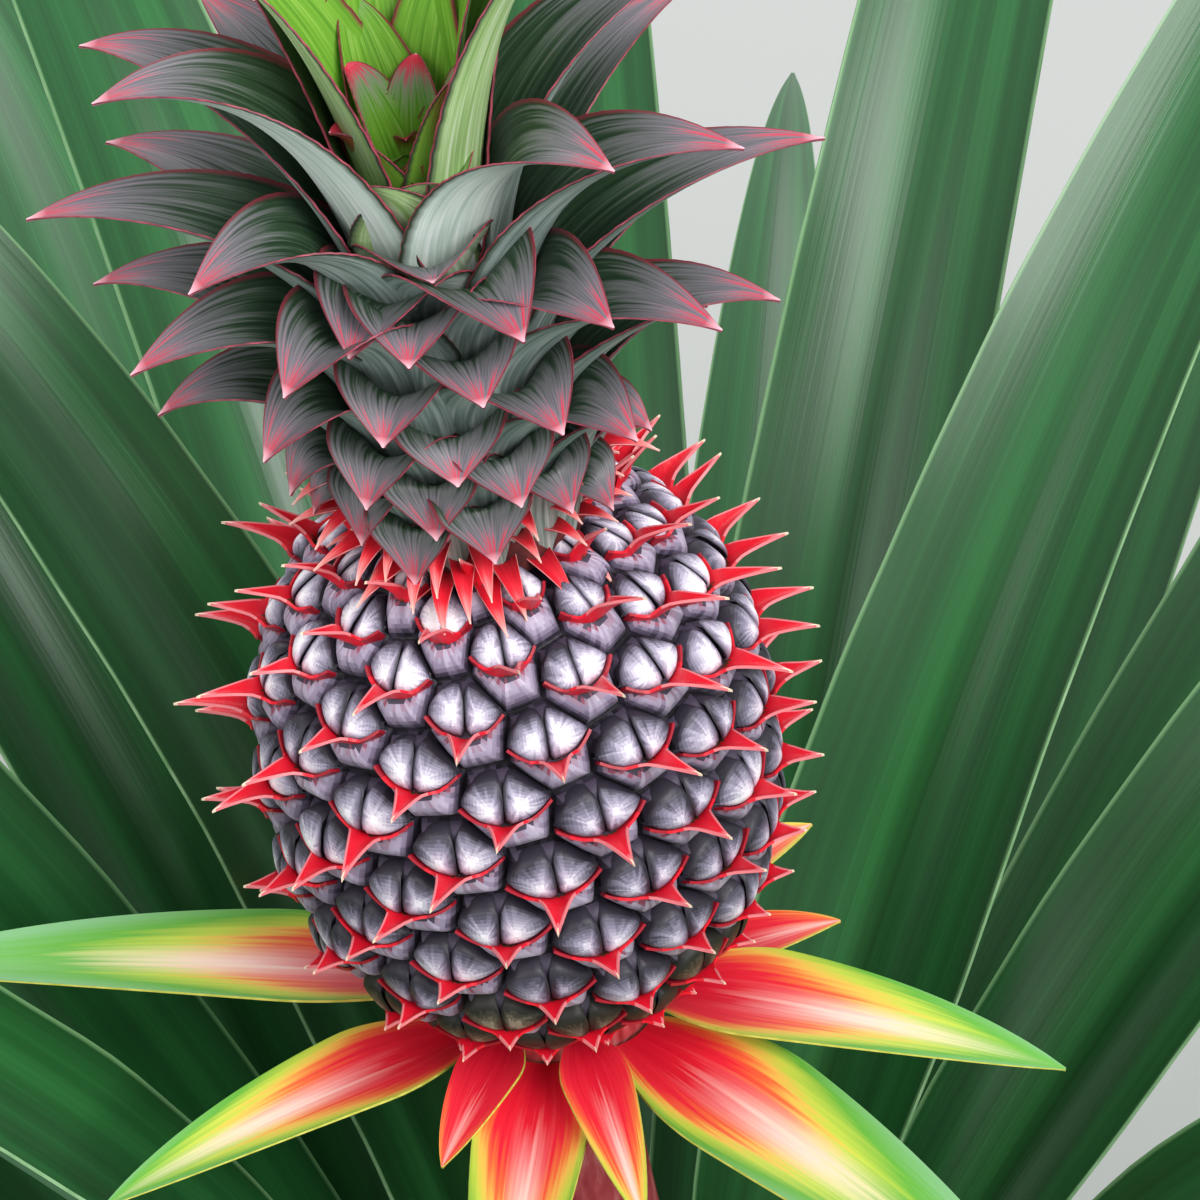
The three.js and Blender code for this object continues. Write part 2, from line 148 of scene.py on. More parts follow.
def along(pairs, x):
    """The value at x on a line through (x, value) pairs."""
    if x <= pairs[0][0]:
        return pairs[0][1]
    for (x0, v0), (x1, v1) in zip(pairs, pairs[1:]):
        if x <= x1:
            return v0 + (v1 - v0) * (x - x0) / (x1 - x0)
    return pairs[-1][1]


def mix(a, b, share):
    return a + (b - a) * share


def ringed(name, sides, rings):
    """A closed body through rings of (centre, radius, tilt), each one extruded from the one before."""
    deselect()
    foot, radius, _ = rings[0]
    bpy.ops.mesh.primitive_circle_add(vertices=sides, radius=radius, fill_type="NGON", location=foot)
    body = bpy.context.object
    body.name = name
    bpy.ops.object.transform_apply(location=True)
    bpy.ops.object.mode_set(mode="EDIT")
    bpy.ops.mesh.select_all(action="SELECT")
    for before, after in zip(rings, rings[1:]):
        bpy.ops.mesh.extrude_region_move(TRANSFORM_OT_translate={"value": after[0] - before[0]})
        bpy.ops.transform.resize(value=(after[1] / before[1],) * 3, center_override=after[0])
        bpy.ops.transform.rotate(value=after[2] - before[2], orient_axis="Y", center_override=after[0])
    bpy.ops.mesh.select_all(action="SELECT")
    bpy.ops.mesh.normals_make_consistent(inside=False)
    bpy.ops.object.mode_set(mode="OBJECT")
    return body


STEM_GIRTH = [(0, 33), (10, 28), (40, 23), (110, 25), (200, 29), (235, 27), (258, 20), (268, 15)]
STEM_SIDES = 40
SCAR_STEP = 6
SCAR_DEPTH = 1.1

rings = [(Vector((0, 0, 0)), STEM_GIRTH[0][1] * MM, 0)]
height, stem_top = 0, STEM_GIRTH[-1][0]
while height < stem_top:
    height = min(height + SCAR_STEP / 2, stem_top)
    depth = SCAR_DEPTH if len(rings) % 2 and height < stem_top else 0
    rings.append((Vector((0, 0, height * MM)), (along(STEM_GIRTH, height) - depth) * MM, 0))
stem = ringed("stem_rind", STEM_SIDES, rings)
smooth(60)

# Rind of the stem: dry outer fibres over green flesh, so it is matt and streaked along its height.
# The fibres are about 1.5 mm apart.
rind, tree, shader = new_material("stem_rind_fibrous", Roughness=0.85, IOR=1.45)
fibres = grain(tree, add_node(tree, "TexCoord").outputs["Object"], (660, 660, 60), 6)
colour = ramp(tree, fibres, [(0.3, "#4a3b26"), (0.5, "#7a6a45"), (0.7, "#93905c")])
tree.links.new(colour, shader.inputs["Base Color"])
emboss(tree, shader, fibres, 0.6, 0.8)
stem.data.materials.append(rind)
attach(stem, "root")
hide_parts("stem")


# Stalk
# The fruit's stalk grows out of the stem's tip and bends into the fruit's lean. It is a fleshy, pink-red
# shoot as thick as a finger, which widens under the fruit into the seat that the collar grows on.
STALK_SIDES = 32
STALK_STEPS = 18
STALK_FOOT_RADIUS = 14
# Heights on the fruit's axis, from its middle, and radii of the seat
SEAT = [(-92, 11.5), (-84, 11.8), (-76, 13), (-70, 15.5), (-66, 18), (-60, 21), (-55, 20.4), (-50.35, 19)]
# Gap that pieces keep where they meet
GAP = 0.35

fruit_frame = Matrix.Translation(FRUIT_MIDDLE) @ Matrix.Rotation(-LEAN, 4, "Y")


def bezier(points, share):
    """The point at a share of the way along a Bezier curve of any degree."""
    while len(points) > 1:
        points = [a.lerp(b, share) for a, b in zip(points, points[1:])]
    return points[0]


stalk_foot = Vector((0, 0, (stem_top + GAP) * MM))
stalk_head = fruit_frame @ Vector((0, 0, SEAT[0][0] * MM))
lean_axis = (fruit_frame.to_3x3() @ Vector((0, 0, 1))).normalized()
bend = (stalk_head - stalk_foot).length / 3
guide = [stalk_foot, stalk_foot + Vector((0, 0, bend)), stalk_head - bend * lean_axis, stalk_head]
rings = []
for step in range(STALK_STEPS):
    share = step / STALK_STEPS
    radius = mix(STALK_FOOT_RADIUS, SEAT[0][1], min(1, 2 * share))
    rings.append((bezier(guide, share), radius * MM, LEAN * share))
for height, radius in SEAT:
    rings.append((fruit_frame @ Vector((0, 0, height * MM)), radius * MM, LEAN))
stalk = ringed("stalk_flesh", STALK_SIDES, rings)
smooth(60)

# Flesh of the stalk: smooth, juicy tissue under a thin skin, so it is satin with a faint pale bloom.
flesh, tree, shader = new_material(
    "stalk_flesh_satin",
    Roughness=0.5,
    IOR=1.4,
    Subsurface_Weight=0.1,
    Subsurface_Radius=(3 * MM, 1 * MM, 1 * MM),
    Subsurface_Scale=1,
)
veins = grain(tree, add_node(tree, "TexCoord").outputs["Object"], (500, 500, 90), 4)
colour = ramp(tree, veins, [(0.3, "#a02c33"), (0.55, "#c8545a"), (0.75, "#dc8d88")])
tree.links.new(colour, shader.inputs["Base Color"])
stalk.data.materials.append(flesh)
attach(stalk, "root")
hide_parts("stalk", "receptacle")


# Fruit skin
# The fruit is a barrel of fruitlets grown together, each a rounded mauve boss between near-black
# grooves, their dark partly the rind's own and partly painted shade.
# They follow one spiral, so all cells are alike when the barrel is unrolled, and one is copied to all.
DIVERGENCE = math.radians(-137.50776)
FRUIT_RADIUS, FRUIT_HEIGHT, FRUIT_SQUARENESS = 46, 114, 2.5
FRUIT_BOTTOM, FRUIT_TOP = -50, 51
FRUITLET_RISE = 0.76
FRUITLET_FACING = math.radians(2.3)
WIDEST_INDEX = -28.8
END_MARGIN = 1
SHOULDER = 3
GROOVE_DEPTH = 4.0
OUTLINE_STEP = 0.05
OUTLINE_SPARE = 4
# Fruitlets keep at least this share of their relief, on the lower half and on the upper
LEAST_RELIEF = (0.35, 0.6)


def barrel_radius(height):
    share = min(1, abs(2 * height / FRUIT_HEIGHT))
    return FRUIT_RADIUS * math.sqrt(1 - share ** FRUIT_SQUARENESS)


def barrel_slope(height):
    return (barrel_radius(height + OUTLINE_STEP) - barrel_radius(height - OUTLINE_STEP)) / (2 * OUTLINE_STEP)


def follow_outline(direction):
    """Heights along the barrel's outline at equal steps, from the widest ring up (1) or down (-1)."""
    heights = [0.0]
    while FRUIT_BOTTOM - OUTLINE_SPARE < heights[-1] < FRUIT_TOP + OUTLINE_SPARE:
        heights.append(heights[-1] + direction * OUTLINE_STEP / math.hypot(1, barrel_slope(heights[-1])))
    return heights


outline_up, outline_down = follow_outline(1), follow_outline(-1)


def height_at(way):
    """The height that a way along the outline leads to, counted from the widest ring."""
    heights = outline_up if way > 0 else outline_down
    place = min(abs(way) / OUTLINE_STEP, len(heights) - 1.001)
    return mix(heights[int(place)], heights[int(place) + 1], place % 1)


def fruitlet_way(n):
    return (n - WIDEST_INDEX) * FRUITLET_RISE


def fits(n):
    return FRUIT_BOTTOM + END_MARGIN < height_at(fruitlet_way(n)) < FRUIT_TOP + SHOULDER


lowest = highest = round(WIDEST_INDEX)
while fits(lowest - 1):
    lowest -= 1
while fits(highest + 1):
    highest += 1
fruitlets = range(lowest, highest + 1)


def relief(height):
    """Fruitlets are flatter near both ends of the barrel, most of all at the lower one."""
    least = LEAST_RELIEF[0] if height < 0 else LEAST_RELIEF[1]
    return max(least, min(1, barrel_radius(height) / FRUIT_RADIUS))


def on_fruit(n, x, y, out):
    """The place, in metres, of a point of fruitlet n: x round the barrel, y up its outline, out of it."""
    angle = -math.pi / 2 + FRUITLET_FACING + n * DIVERGENCE + x / FRUIT_RADIUS
    height = height_at(fruitlet_way(n) + y)
    radius = barrel_radius(height)
    normal = Vector((1, 0, -barrel_slope(height))).normalized()
    reach = radius + normal.x * out
    point = Vector((reach * math.cos(angle), reach * math.sin(angle), height + normal.z * out))
    return fruit_frame @ (point * MM)


def neighbour(steps):
    """Where the fruitlet that many numbers on lies, with the barrel unrolled."""
    angle = (steps * DIVERGENCE + math.pi) % (2 * math.pi) - math.pi
    return Vector((angle * FRUIT_RADIUS, steps * FRUITLET_RISE))


NEAR, MIDDLE, FAR = neighbour(8), neighbour(13), neighbour(21)
left_corner, right_corner = (NEAR + FAR) / 3, (MIDDLE + FAR) / 3
cell = [left_corner, right_corner, left_corner - NEAR, right_corner - FAR]
cell += [left_corner - FAR, right_corner - MIDDLE]
EDGE_PARTS = 7
cell_rim = []
for corner, following in zip(cell, cell[1:] + cell[:1]):
    for part in range(EDGE_PARTS):
        cell_rim.append(corner.lerp(following, part / EDGE_PARTS))

# Rings of one cell, from its rim in the groove to its eye: share of the way, and rise out of the groove
CELL_RINGS = [
    (1.0, 0.0), (0.96, 0.2), (0.91, 1.2), (0.84, 2.4), (0.76, 3.1), (0.66, 3.5), (0.55, 3.7), (0.4, 3.8),
    (0.2, 3.8),
]
# Colours of the skin from the groove's floor (0) to the swell of the bract's foot (1). The groove's
# near-black is partly the rind's own and partly painted shade.
SKIN_COLOURS = [(0, "#17131b"), (0.2, "#352c3d"), (0.45, "#6c6077"), (0.7, "#988ba3"), (1, "#c0b5c9")]
SKIN_TONES = 9
RIM_ROSE, RIM_RED = SKIN_TONES, SKIN_TONES + 1
# Tone of each ring from the groove up, darker towards the groove, partly painted shade
RING_LEVELS = [0.0, 0.1, 0.36, 0.56, 0.68, 0.76, 0.8, 0.8, 0.8]
SKIN_STREAK, SKIN_SPECKLE = 0.14, 0.05
# The tone of painted shade in the clefts above a rim, the widths of its red and rose lines, and where
# they start
CLEFT_SHADE_LEVEL = 0.3
RED_WIDTH, ROSE_WIDTH = 0.4, 1
RIM_RING = 3
# The swelling of a bract's foot: its middle on the cell, how far it reaches, and its rise
FOOT_MIDDLE, FOOT_REACH, FOOT_SWELL = -4.6, 3.4, 1.1
# Points that fall together on a grid with this many steps to the metre are one
SKIN_GRID = 20000


def rim_line(x):
    """Height on the cell at which the bract's rim runs, a shallow smile from side to side."""
    return -2.2 + 0.055 * x * x


def skin_tone(point, ring, streak):
    """Tone of a face of the skin. Above the bract's rim only clefts show it, so painted shade darkens it
    there.
    """
    below = rim_line(point.x) - point.y + 5 * streak
    level = RING_LEVELS[ring] + streak + chance.uniform(-SKIN_SPECKLE, SKIN_SPECKLE)
    # Painted shade: above the rim the skin shows only in clefts, which are kept dark
    if below < 0:
        level = min(level, CLEFT_SHADE_LEVEL)
    elif ring >= RIM_RING and below < RED_WIDTH:
        return RIM_RED
    elif ring >= RIM_RING and below < ROSE_WIDTH:
        return RIM_ROSE
    return max(0, min(SKIN_TONES - 1, round(level * (SKIN_TONES - 1))))


chance = random.Random(7)
skin_points = {}
skin_places = []
skin_faces = []
skin_tones = []


def skin_point(n, x, y, out):
    """Number of a point of the skin. Points of neighbouring cells that fall together are one."""
    place = on_fruit(n, x, y, out)
    key = tuple(round(value * SKIN_GRID) for value in place)
    if key not in skin_points:
        skin_points[key] = len(skin_places)
        skin_places.append(place)
    return skin_points[key]


def skin_face(corners, tone):
    """Adds a face of the skin, without the corners that fell together."""
    corners = tuple(dict.fromkeys(corners))
    if len(corners) > 2:
        skin_faces.append(corners)
        skin_tones.append(tone)


for n in fruitlets:
    rows = []
    streaks = [chance.uniform(-SKIN_STREAK, SKIN_STREAK) for _ in cell_rim]
    for share, rise in CELL_RINGS:
        row = []
        for point in cell_rim:
            x, y = point * share
            size = relief(height_at(fruitlet_way(n) + y))
            # The bract's foot swells below its rim
            foot = FOOT_SWELL * max(0, 1 - abs(y - FOOT_MIDDLE) / FOOT_REACH) * (1 - share ** 4)
            row.append(skin_point(n, x, y, (rise + foot - GROOVE_DEPTH) * size))
        rows.append(row)
    eye = skin_point(n, 0, 0, 0)
    count = len(cell_rim)
    for ring, (outer, inner) in enumerate(zip(rows, rows[1:])):
        for side in range(count):
            after = (side + 1) % count
            middle = cell_rim[side].lerp(cell_rim[after], 0.5)
            tone = skin_tone(middle * CELL_RINGS[ring + 1][0], ring, streaks[side])
            skin_face((outer[side], inner[side], inner[after], outer[after]), tone)
    for side in range(count):
        skin_face((rows[-1][side], eye, rows[-1][(side + 1) % count]), 1)


def add_piece(name, mesh):
    """Puts a mesh into the scene as a piece, selected and active."""
    piece = bpy.data.objects.new(name, mesh)
    bpy.context.scene.collection.objects.link(piece)
    deselect()
    piece.select_set(True)
    bpy.context.view_layer.objects.active = piece
    return piece


def joined_piece(name, places, faces, tones):
    """A piece of many faces, each with the finish that its tone's number names."""
    mesh = bpy.data.meshes.new(name)
    mesh.from_pydata(places, [], faces)
    mesh.polygons.foreach_set("material_index", tones)
    return add_piece(name, mesh)


skin = joined_piece("fruit_skin", skin_places, skin_faces, skin_tones)
bpy.ops.object.mode_set(mode="EDIT")
bpy.ops.mesh.select_all(action="SELECT")
bpy.ops.mesh.remove_doubles(threshold=0.02 * MM)
bpy.ops.mesh.select_all(action="DESELECT")
bpy.ops.mesh.select_mode(type="EDGE")
bpy.ops.mesh.select_non_manifold()
bpy.ops.mesh.fill_holes(sides=0)
bpy.ops.mesh.select_all(action="SELECT")
bpy.ops.mesh.normals_make_consistent(inside=False)
bpy.ops.object.mode_set(mode="OBJECT")
smooth(50)


def fruit_finish(name, colour, roughness, sheen=0.0):
    """Waxy skin of the fruit in one plain colour, its relief a grain of lines 0.7 mm apart.

    Colour changes from face to face, not inside a finish, so that each keeps its place when joined.
    """
    made, tree, shader = new_material(
        name,
        Base_Color=colour,
        Roughness=roughness,
        IOR=1.45,
        Sheen_Weight=sheen,
        Sheen_Tint=srgb("#efe8f4"),
        Sheen_Roughness=0.4,
    )
    lines = grain(tree, add_node(tree, "TexCoord").outputs["Object"], (1400, 1400, 420), 3)
    emboss(tree, shader, lines, 0.4, 0.2)
    return made


def add_tones(piece, name, stops, count, roughness, sheen=0.0):
    """Gives a piece finishes in even steps along a list of (place, colour) pairs."""
    rows = list(zip(*(srgb(colour) for _, colour in stops)))
    for tone in range(count):
        share = tone / (count - 1)
        colour = [along([(place, value) for (place, _), value in zip(stops, row)], share) for row in rows]
        piece.data.materials.append(fruit_finish(f"{name}_{tone + 1:02d}", colour, roughness, sheen))


# Skin of the fruitlets: a tough, waxy rind with a faint bloom, mauve where it swells and near-black in
# the grooves, partly its own dark and partly painted shade. The foot of each bract is grown into it, in
# a rose and a red line.
add_tones(skin, "fruitlet_skin", SKIN_COLOURS, SKIN_TONES, 0.55, 0.1)
skin.data.materials.append(fruit_finish("bract_foot_rose", srgb("#9c8196"), 0.5))
skin.data.materials.append(fruit_finish("bract_foot_red", srgb("#904a60"), 0.5))
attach(skin, "root")
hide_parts("fruit")


# Fruit lobes
# Each fruitlet closes over its dead flower with two fleshy lobes side by side, which fill the upper part
# of its cell. Their middles are nearly white, partly a bloom and partly a painted highlight, and their
# edges are slate with painted shade, darkest at the top.
LOBE_RINGS = 9
LOBE_SPOKES = 30
LOBE_CLEFT = 0.05
LOBE_OUTER = 8.4
LOBE_BULGE = 2.4
LOBE_KEEL = 0.6
LOBE_SUNK = 2.8
# Outline of both lobes together above the rim, a lens that leans as its cell does
LOBE_TOP = [(-8.5, 1.7), (-7.6, 4.4), (-5.4, 6.7), (-2, 8.0), (1.3, 8.2), (4.8, 5.4), (7.2, 3.2), (8.5, 1.6)]
# Colours from the lobe's edge (0), slate with painted shade, to its middle (1), bloom and painted
# highlight, and of the lowest fruitlets, which stayed small
LOBE_COLOURS = [
    (0, "#2f2b36"),
    (0.2, "#4e4a59"),
    (0.42, "#7d778b"),
    (0.62, "#aba3b8"),
    (0.8, "#dad3e1"),
    (1, "#fbf8fc"),
]
DWARF_COLOURS = [(0, "#24221f"), (0.4, "#47433a"), (0.7, "#7d7466"), (1, "#c4b7a6")]
LOBE_TONES, DWARF_TONES = 12, 5
# The lobes are darker towards the barrel's foot and lighter near its top
LOBE_SHADE = [(-50, -0.34), (-30, -0.18), (-10, -0.05), (30, 0.03), (50, 0.1)]
DWARF_HEIGHT = -29

places, faces, tones = [], [], []
for n in fruitlets:
    height = height_at(fruitlet_way(n))
    shade = chance.uniform(-0.12, 0.1) + along(LOBE_SHADE, height)
    cleft = chance.uniform(-0.9, 0.9)
    for side in (-1, 1):
        start = len(places)
        swell = chance.uniform(0.7, 1.2)
        pale = chance.uniform(-0.3, 0.08)
        smudge = chance.uniform(0, 2 * math.pi)
        bloom_and_highlight_u, bloom_and_highlight_v = chance.uniform(0.3, 0.6), chance.uniform(-0.45, -0.05)
        streaks = [chance.uniform(-0.09, 0.09) for _ in range(LOBE_SPOKES)]
        # Spokes run from the middle of the pale spot, bloom and painted highlight, to the lobe's border
        for ring in range(LOBE_RINGS + 1):
            part = (ring / LOBE_RINGS) ** 0.85
            for spoke in range(LOBE_SPOKES):
                angle = 2 * math.pi * spoke / LOBE_SPOKES
                border = max(abs(math.cos(angle)), abs(math.sin(angle)))
                u = mix(bloom_and_highlight_u, math.cos(angle) / border, part)
                v = mix(bloom_and_highlight_v, math.sin(angle) / border, part)
                # The corners of the square are drawn in, least at the eye, and it is then stretched
                # over half the lens
                drawn = 0.5 - 0.42 * max(0, u) * max(0, -v)
                inner = (u * (1 - drawn * v * v) ** 0.25 + 1) / 2
                upward = (v * (1 - drawn * u * u) ** 0.25 + 1) / 2
                x = side * mix(LOBE_OUTER, LOBE_CLEFT, inner)
                y = mix(rim_line(x), along(LOBE_TOP, x), upward)
                x += cleft * inner * (1 - upward)
                # Both lobes meet in a shallow crease and fall off steeply on their other sides
                dome = max(0, (1 - (1 - inner) ** 5) * (1 - 0.4 * inner ** 10) * (1 - abs(v) ** 3)) ** 0.3
                bulge = LOBE_BULGE * swell * mix(0.5, 1.1, inner) * mix(1.1, 0.55, upward)
                # A blunt keel runs from the eye to the lobe's outer corner
                bulge -= LOBE_KEEL * abs(inner - (1 - upward))
                size = relief(height_at(fruitlet_way(n) + y))
                places.append(on_fruit(n, x, y, (bulge * dome - LOBE_SUNK * (1 - dome)) * size))
        for ring in range(LOBE_RINGS):
            for spoke in range(LOBE_SPOKES):
                after = (spoke + 1) % LOBE_SPOKES
                low, high = start + ring * LOBE_SPOKES, start + (ring + 1) * LOBE_SPOKES
                face = (low + spoke, high + spoke, high + after, low + after)
                faces.append(face if side < 0 else face[::-1])
                # White in the middle, bloom and painted highlight, and slate edges with painted shade,
                # darkest towards the top
                part = (ring + 0.5) / LOBE_RINGS
                angle = 2 * math.pi * (spoke + 0.5) / LOBE_SPOKES
                level = 0.96 - 0.58 * part ** 0.75 * (1 + 0.3 * math.sin(angle)) - 0.35 * part ** 6
                level -= 0.2 * part * max(0, math.cos(angle - smudge)) ** 3
                level += shade + pale * part ** 0.5 + streaks[spoke] * math.sin(math.pi * part)
                level = max(0, min(0.999, level + chance.uniform(-0.035, 0.035)))
                if height < DWARF_HEIGHT:
                    tones.append(LOBE_TONES + int(level * DWARF_TONES))
                else:
                    tones.append(int(level * LOBE_TONES))
        hub = tuple(range(start, start + LOBE_SPOKES))
        back = tuple(range(start + LOBE_RINGS * LOBE_SPOKES, start + (LOBE_RINGS + 1) * LOBE_SPOKES))
        faces.append(hub if side < 0 else hub[::-1])
        tones.append(tones[-1])
        faces.append(back[::-1] if side < 0 else back)
        tones.append(0)

lobes = joined_piece("fruit_lobes", places, faces, tones)
smooth(55)

# Skin of the lobes: a waxy cuticle with a bloom, in tones that are dealt out to its faces, which also
# paint its highlight and shade
add_tones(lobes, "lobe_bloom_and_painted_light", LOBE_COLOURS, LOBE_TONES, 0.48)
add_tones(lobes, "dwarf_lobe", DWARF_COLOURS, DWARF_TONES, 0.55)
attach(lobes, "root")
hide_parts("fruit")


# Fruit bracts
# A small leaf clasps the lower side of each fruitlet. Only its rim stands free, a thin dark red line
# from side to side, partly its own deep red and partly painted shade, which in the middle grows into a
# stiff claw, bright red with pale pink edges and a cream point.
BRACT_COLUMNS = 26
BRACT_ROWS = 10
BRACT_HALF = 8.2
BRACT_THICK = 0.5
RIM_HEIGHT = 1.8
RIM_SUNK = 1.6
CLAW_LENGTH = 13.5
CLAW_TAPER = 1.9
CLAW_MIDDLE = 0.6
CLAW_CURVE = 0.018
CLAW_GUTTER = 0.3
# Shares of the claw's length from which it is pink, and then cream
PINK_FROM, CREAM_FROM = 0.8, 0.89
# The brown scar of the withered flower: half its width, and where on the bract it starts and ends
SCAR_HALF, SCAR_FROM, SCAR_TO = 1.4, -0.6, 1.1
# By height on the barrel: half width, share of the length, and rise against the barrel's normal. The
# lower claws bend up along the fruitlet above.
CLAW_HALF = [(FRUIT_BOTTOM, 3.4), (0, 4.0), (20, 4.2), (FRUIT_TOP, 5.0)]
CLAW_SHARE = [(FRUIT_BOTTOM, 0.25), (-36, 0.4), (-20, 0.6), (0, 0.8), (20, 1), (FRUIT_TOP, 0.95)]
CLAW_LIFT = [(FRUIT_BOTTOM, 0.75), (-15, 0.65), (10, 0.4), (30, 0.2), (FRUIT_TOP, 0.1)]

deselect()
bpy.ops.mesh.primitive_grid_add(
    x_subdivisions=BRACT_COLUMNS, y_subdivisions=BRACT_ROWS, size=2, calc_uvs=False
)
blank = bpy.context.object
bract_grid = [(vertex.co.x, (vertex.co.y + 1) / 2) for vertex in blank.data.vertices]
blank_faces = [tuple(polygon.vertices) for polygon in blank.data.polygons]
bpy.data.objects.remove(blank)

RED, DEEP_RED_AND_SHADE, PINK, CREAM, BROWN = range(5)
places, faces, tones = [], [], []
for n in fruitlets:
    start = len(places)
    height = height_at(fruitlet_way(n))
    length = CLAW_LENGTH * along(CLAW_SHARE, height) * chance.uniform(0.8, 1.1)
    claw_half = along(CLAW_HALF, height)
    lift = along(CLAW_LIFT, height) + chance.uniform(-0.1, 0.1)
    sideways = chance.uniform(-0.18, 0.18)
    root = CLAW_MIDDLE + chance.uniform(-0.8, 0.8)
    red_to = claw_half * chance.uniform(0.8, 1.6)
    rows, ways = [], []
    for u, share in bract_grid:
        # Columns stand closer together towards the middle, where the claw's point is
        x = BRACT_HALF * math.copysign(abs(u) ** 1.6, u)
        claw = (length - RIM_HEIGHT) * max(0, 1 - abs(x) / claw_half) ** CLAW_TAPER
        way = -RIM_SUNK + (RIM_SUNK + RIM_HEIGHT * (1 - 0.6 * u * u) + claw) * share
        ahead = max(0, way)
        rise = lift * way - CLAW_CURVE * ahead * ahead
        rise += CLAW_GUTTER * x * x * min(1, ahead / 4) * max(0, 1 - abs(x) / claw_half)
        place_x = x + root * (1 - abs(u)) + sideways * ahead
        places.append(on_fruit(n, place_x, rim_line(x) + rise, way))
        rows.append(abs(x))
        ways.append(way)
    for face in blank_faces:
        faces.append(tuple(start + corner for corner in face))
        aside = sum(rows[corner] for corner in face) / len(face)
        share = sum(bract_grid[corner][1] for corner in face) / len(face)
        way = sum(ways[corner] for corner in face) / len(face)
        # Away from the claw the rim is deep red, partly its own colour and partly painted shade
        tone = RED if aside < red_to else DEEP_RED_AND_SHADE
        # The claw's edges are pale above its root
        if aside < 0.7 * claw_half and share > 0.9 and way > 2.5:
            tone = PINK
        if way > PINK_FROM * length:
            tone = PINK
        if way > CREAM_FROM * length:
            tone = CREAM
        # The scar lies where the claw's root meets the lobes
        if aside < SCAR_HALF and SCAR_FROM < way < SCAR_TO:
            tone = BROWN
        tones.append(tone)

bracts = joined_piece("fruit_bracts", places, faces, tones)
wall = bracts.modifiers.new("wall", "SOLIDIFY")
wall.thickness = BRACT_THICK * MM
wall.offset = 0
bpy.ops.object.modifier_apply(modifier="wall")
smooth(60)

# Tissue of the bracts: firm and waxy, full of red sap, and bleached at the claw's edges and point. The
# rim's deep red is partly painted shade.
for name, colour in (
    ("bract_red", "#e8142c"),
    ("bract_deep_red_and_shade", "#a81a2c"),
    ("bract_pink_edge", "#ee7f85"),
    ("bract_cream_point", "#f7dfc2"),
    ("flower_scar_brown", "#5a4129"),
):
    bracts.data.materials.append(fruit_finish(name, srgb(colour), 0.4))
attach(bracts, "root")
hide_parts("fruit")


# Rosette leaves
# Thirty-six long, stiff leaves grow round the stem on one spiral. Each is a gutter of fibrous tissue
# with a waxy dark green upper face, a pale scurfy underside and a thin, pale, smooth margin.
LEAF_COUNT = 36
LEAF_START = math.radians(278)
LEAF_FOOT = (36, 246)
LEAF_LONGEST, LONGEST_AGE, LEAF_SHORTENING = 860, 0.45, 1350
LEAF_WIDTH = 60
LEAF_LIFT = (26, 72)
LEAF_ARCH = (50, 66)
FRONT_LOWERED = 24
LEAF_ROWS = 72
LEAF_SIDES = 14
LEAF_GUTTER, LEAF_THICK = 1.7, 2.2
LEAF_FOLD = [(0, 26), (1, 18)]
# How far the leaves' headings, lifts, lengths and sideways bends sway
HEADING_SWAY, LIFT_SWAY, LENGTH_SWAY, SIDE_SWAY = 8.5, 4, 30, 4
# Multiples of these two numbers spread evenly between whole numbers
SWAY_STEPS = (0.7548776662, 0.569840291)
# A blade's wall thins to these shares at its edges and at its point
EDGE_WALL, POINT_WALL = 0.35, 0.4
# A blade widens from its foot up to this share of its length
FOOT_PART = 0.3


def sway(index, seed):
    """Even spread of numbers from -1 to 1, one for each leaf."""
    return 2 * ((index * SWAY_STEPS[0] + seed * SWAY_STEPS[1]) % 1) - 1


def new_strip(name, sides, rows, finishes):
    """A flat strip from (-1, 0) to (1, 1) with its own UV map, to be shaped into blades."""
    deselect()
    bpy.ops.mesh.primitive_grid_add(
        x_subdivisions=sides, y_subdivisions=rows, size=2, calc_uvs=True, location=(0, 1, 0)
    )
    strip = bpy.context.object
    strip.name = name
    bpy.ops.object.transform_apply(location=True)
    strip.scale = (1, 0.5, 1)
    bpy.ops.object.transform_apply(scale=True)
    for finish in finishes:
        strip.data.materials.append(finish)
    return strip


def towards(heading):
    return Vector((math.cos(heading), math.sin(heading), 0))


def arched_line(foot, heading, length, lift, arch, sideways, steps):
    """Midline of a blade that leaves its foot in a heading, rises by its lift and arches over.

    The foot is in metres, the length in millimetres, and lift, arch and sideways bend in degrees.
    """
    length *= MM
    lift, arch, sideways = (math.radians(angle) for angle in (lift, arch, sideways))
    line = [foot.copy()]
    for step in range(steps):
        share = (step + 0.5) / steps
        yaw = heading + sideways * share
        slope = lift - arch * share ** 1.5
        level = math.cos(slope)
        forward = Vector((math.cos(yaw) * level, math.sin(yaw) * level, math.sin(slope)))
        line.append(line[-1] + forward * length / steps)
    return line


def widened(foot, share):
    """Share of its full width that a blade has, which grows from that at its foot."""
    return mix(foot, 1, math.sin(math.pi / 2 * min(1, share / FOOT_PART)))


def long_half_width(width, foot, share):
    """Half the width, in metres, of a long blade that tapers to its point."""
    return width / 2 * MM * widened(foot, share) * max(0.02, (1 - share ** 2.1) ** 0.85)


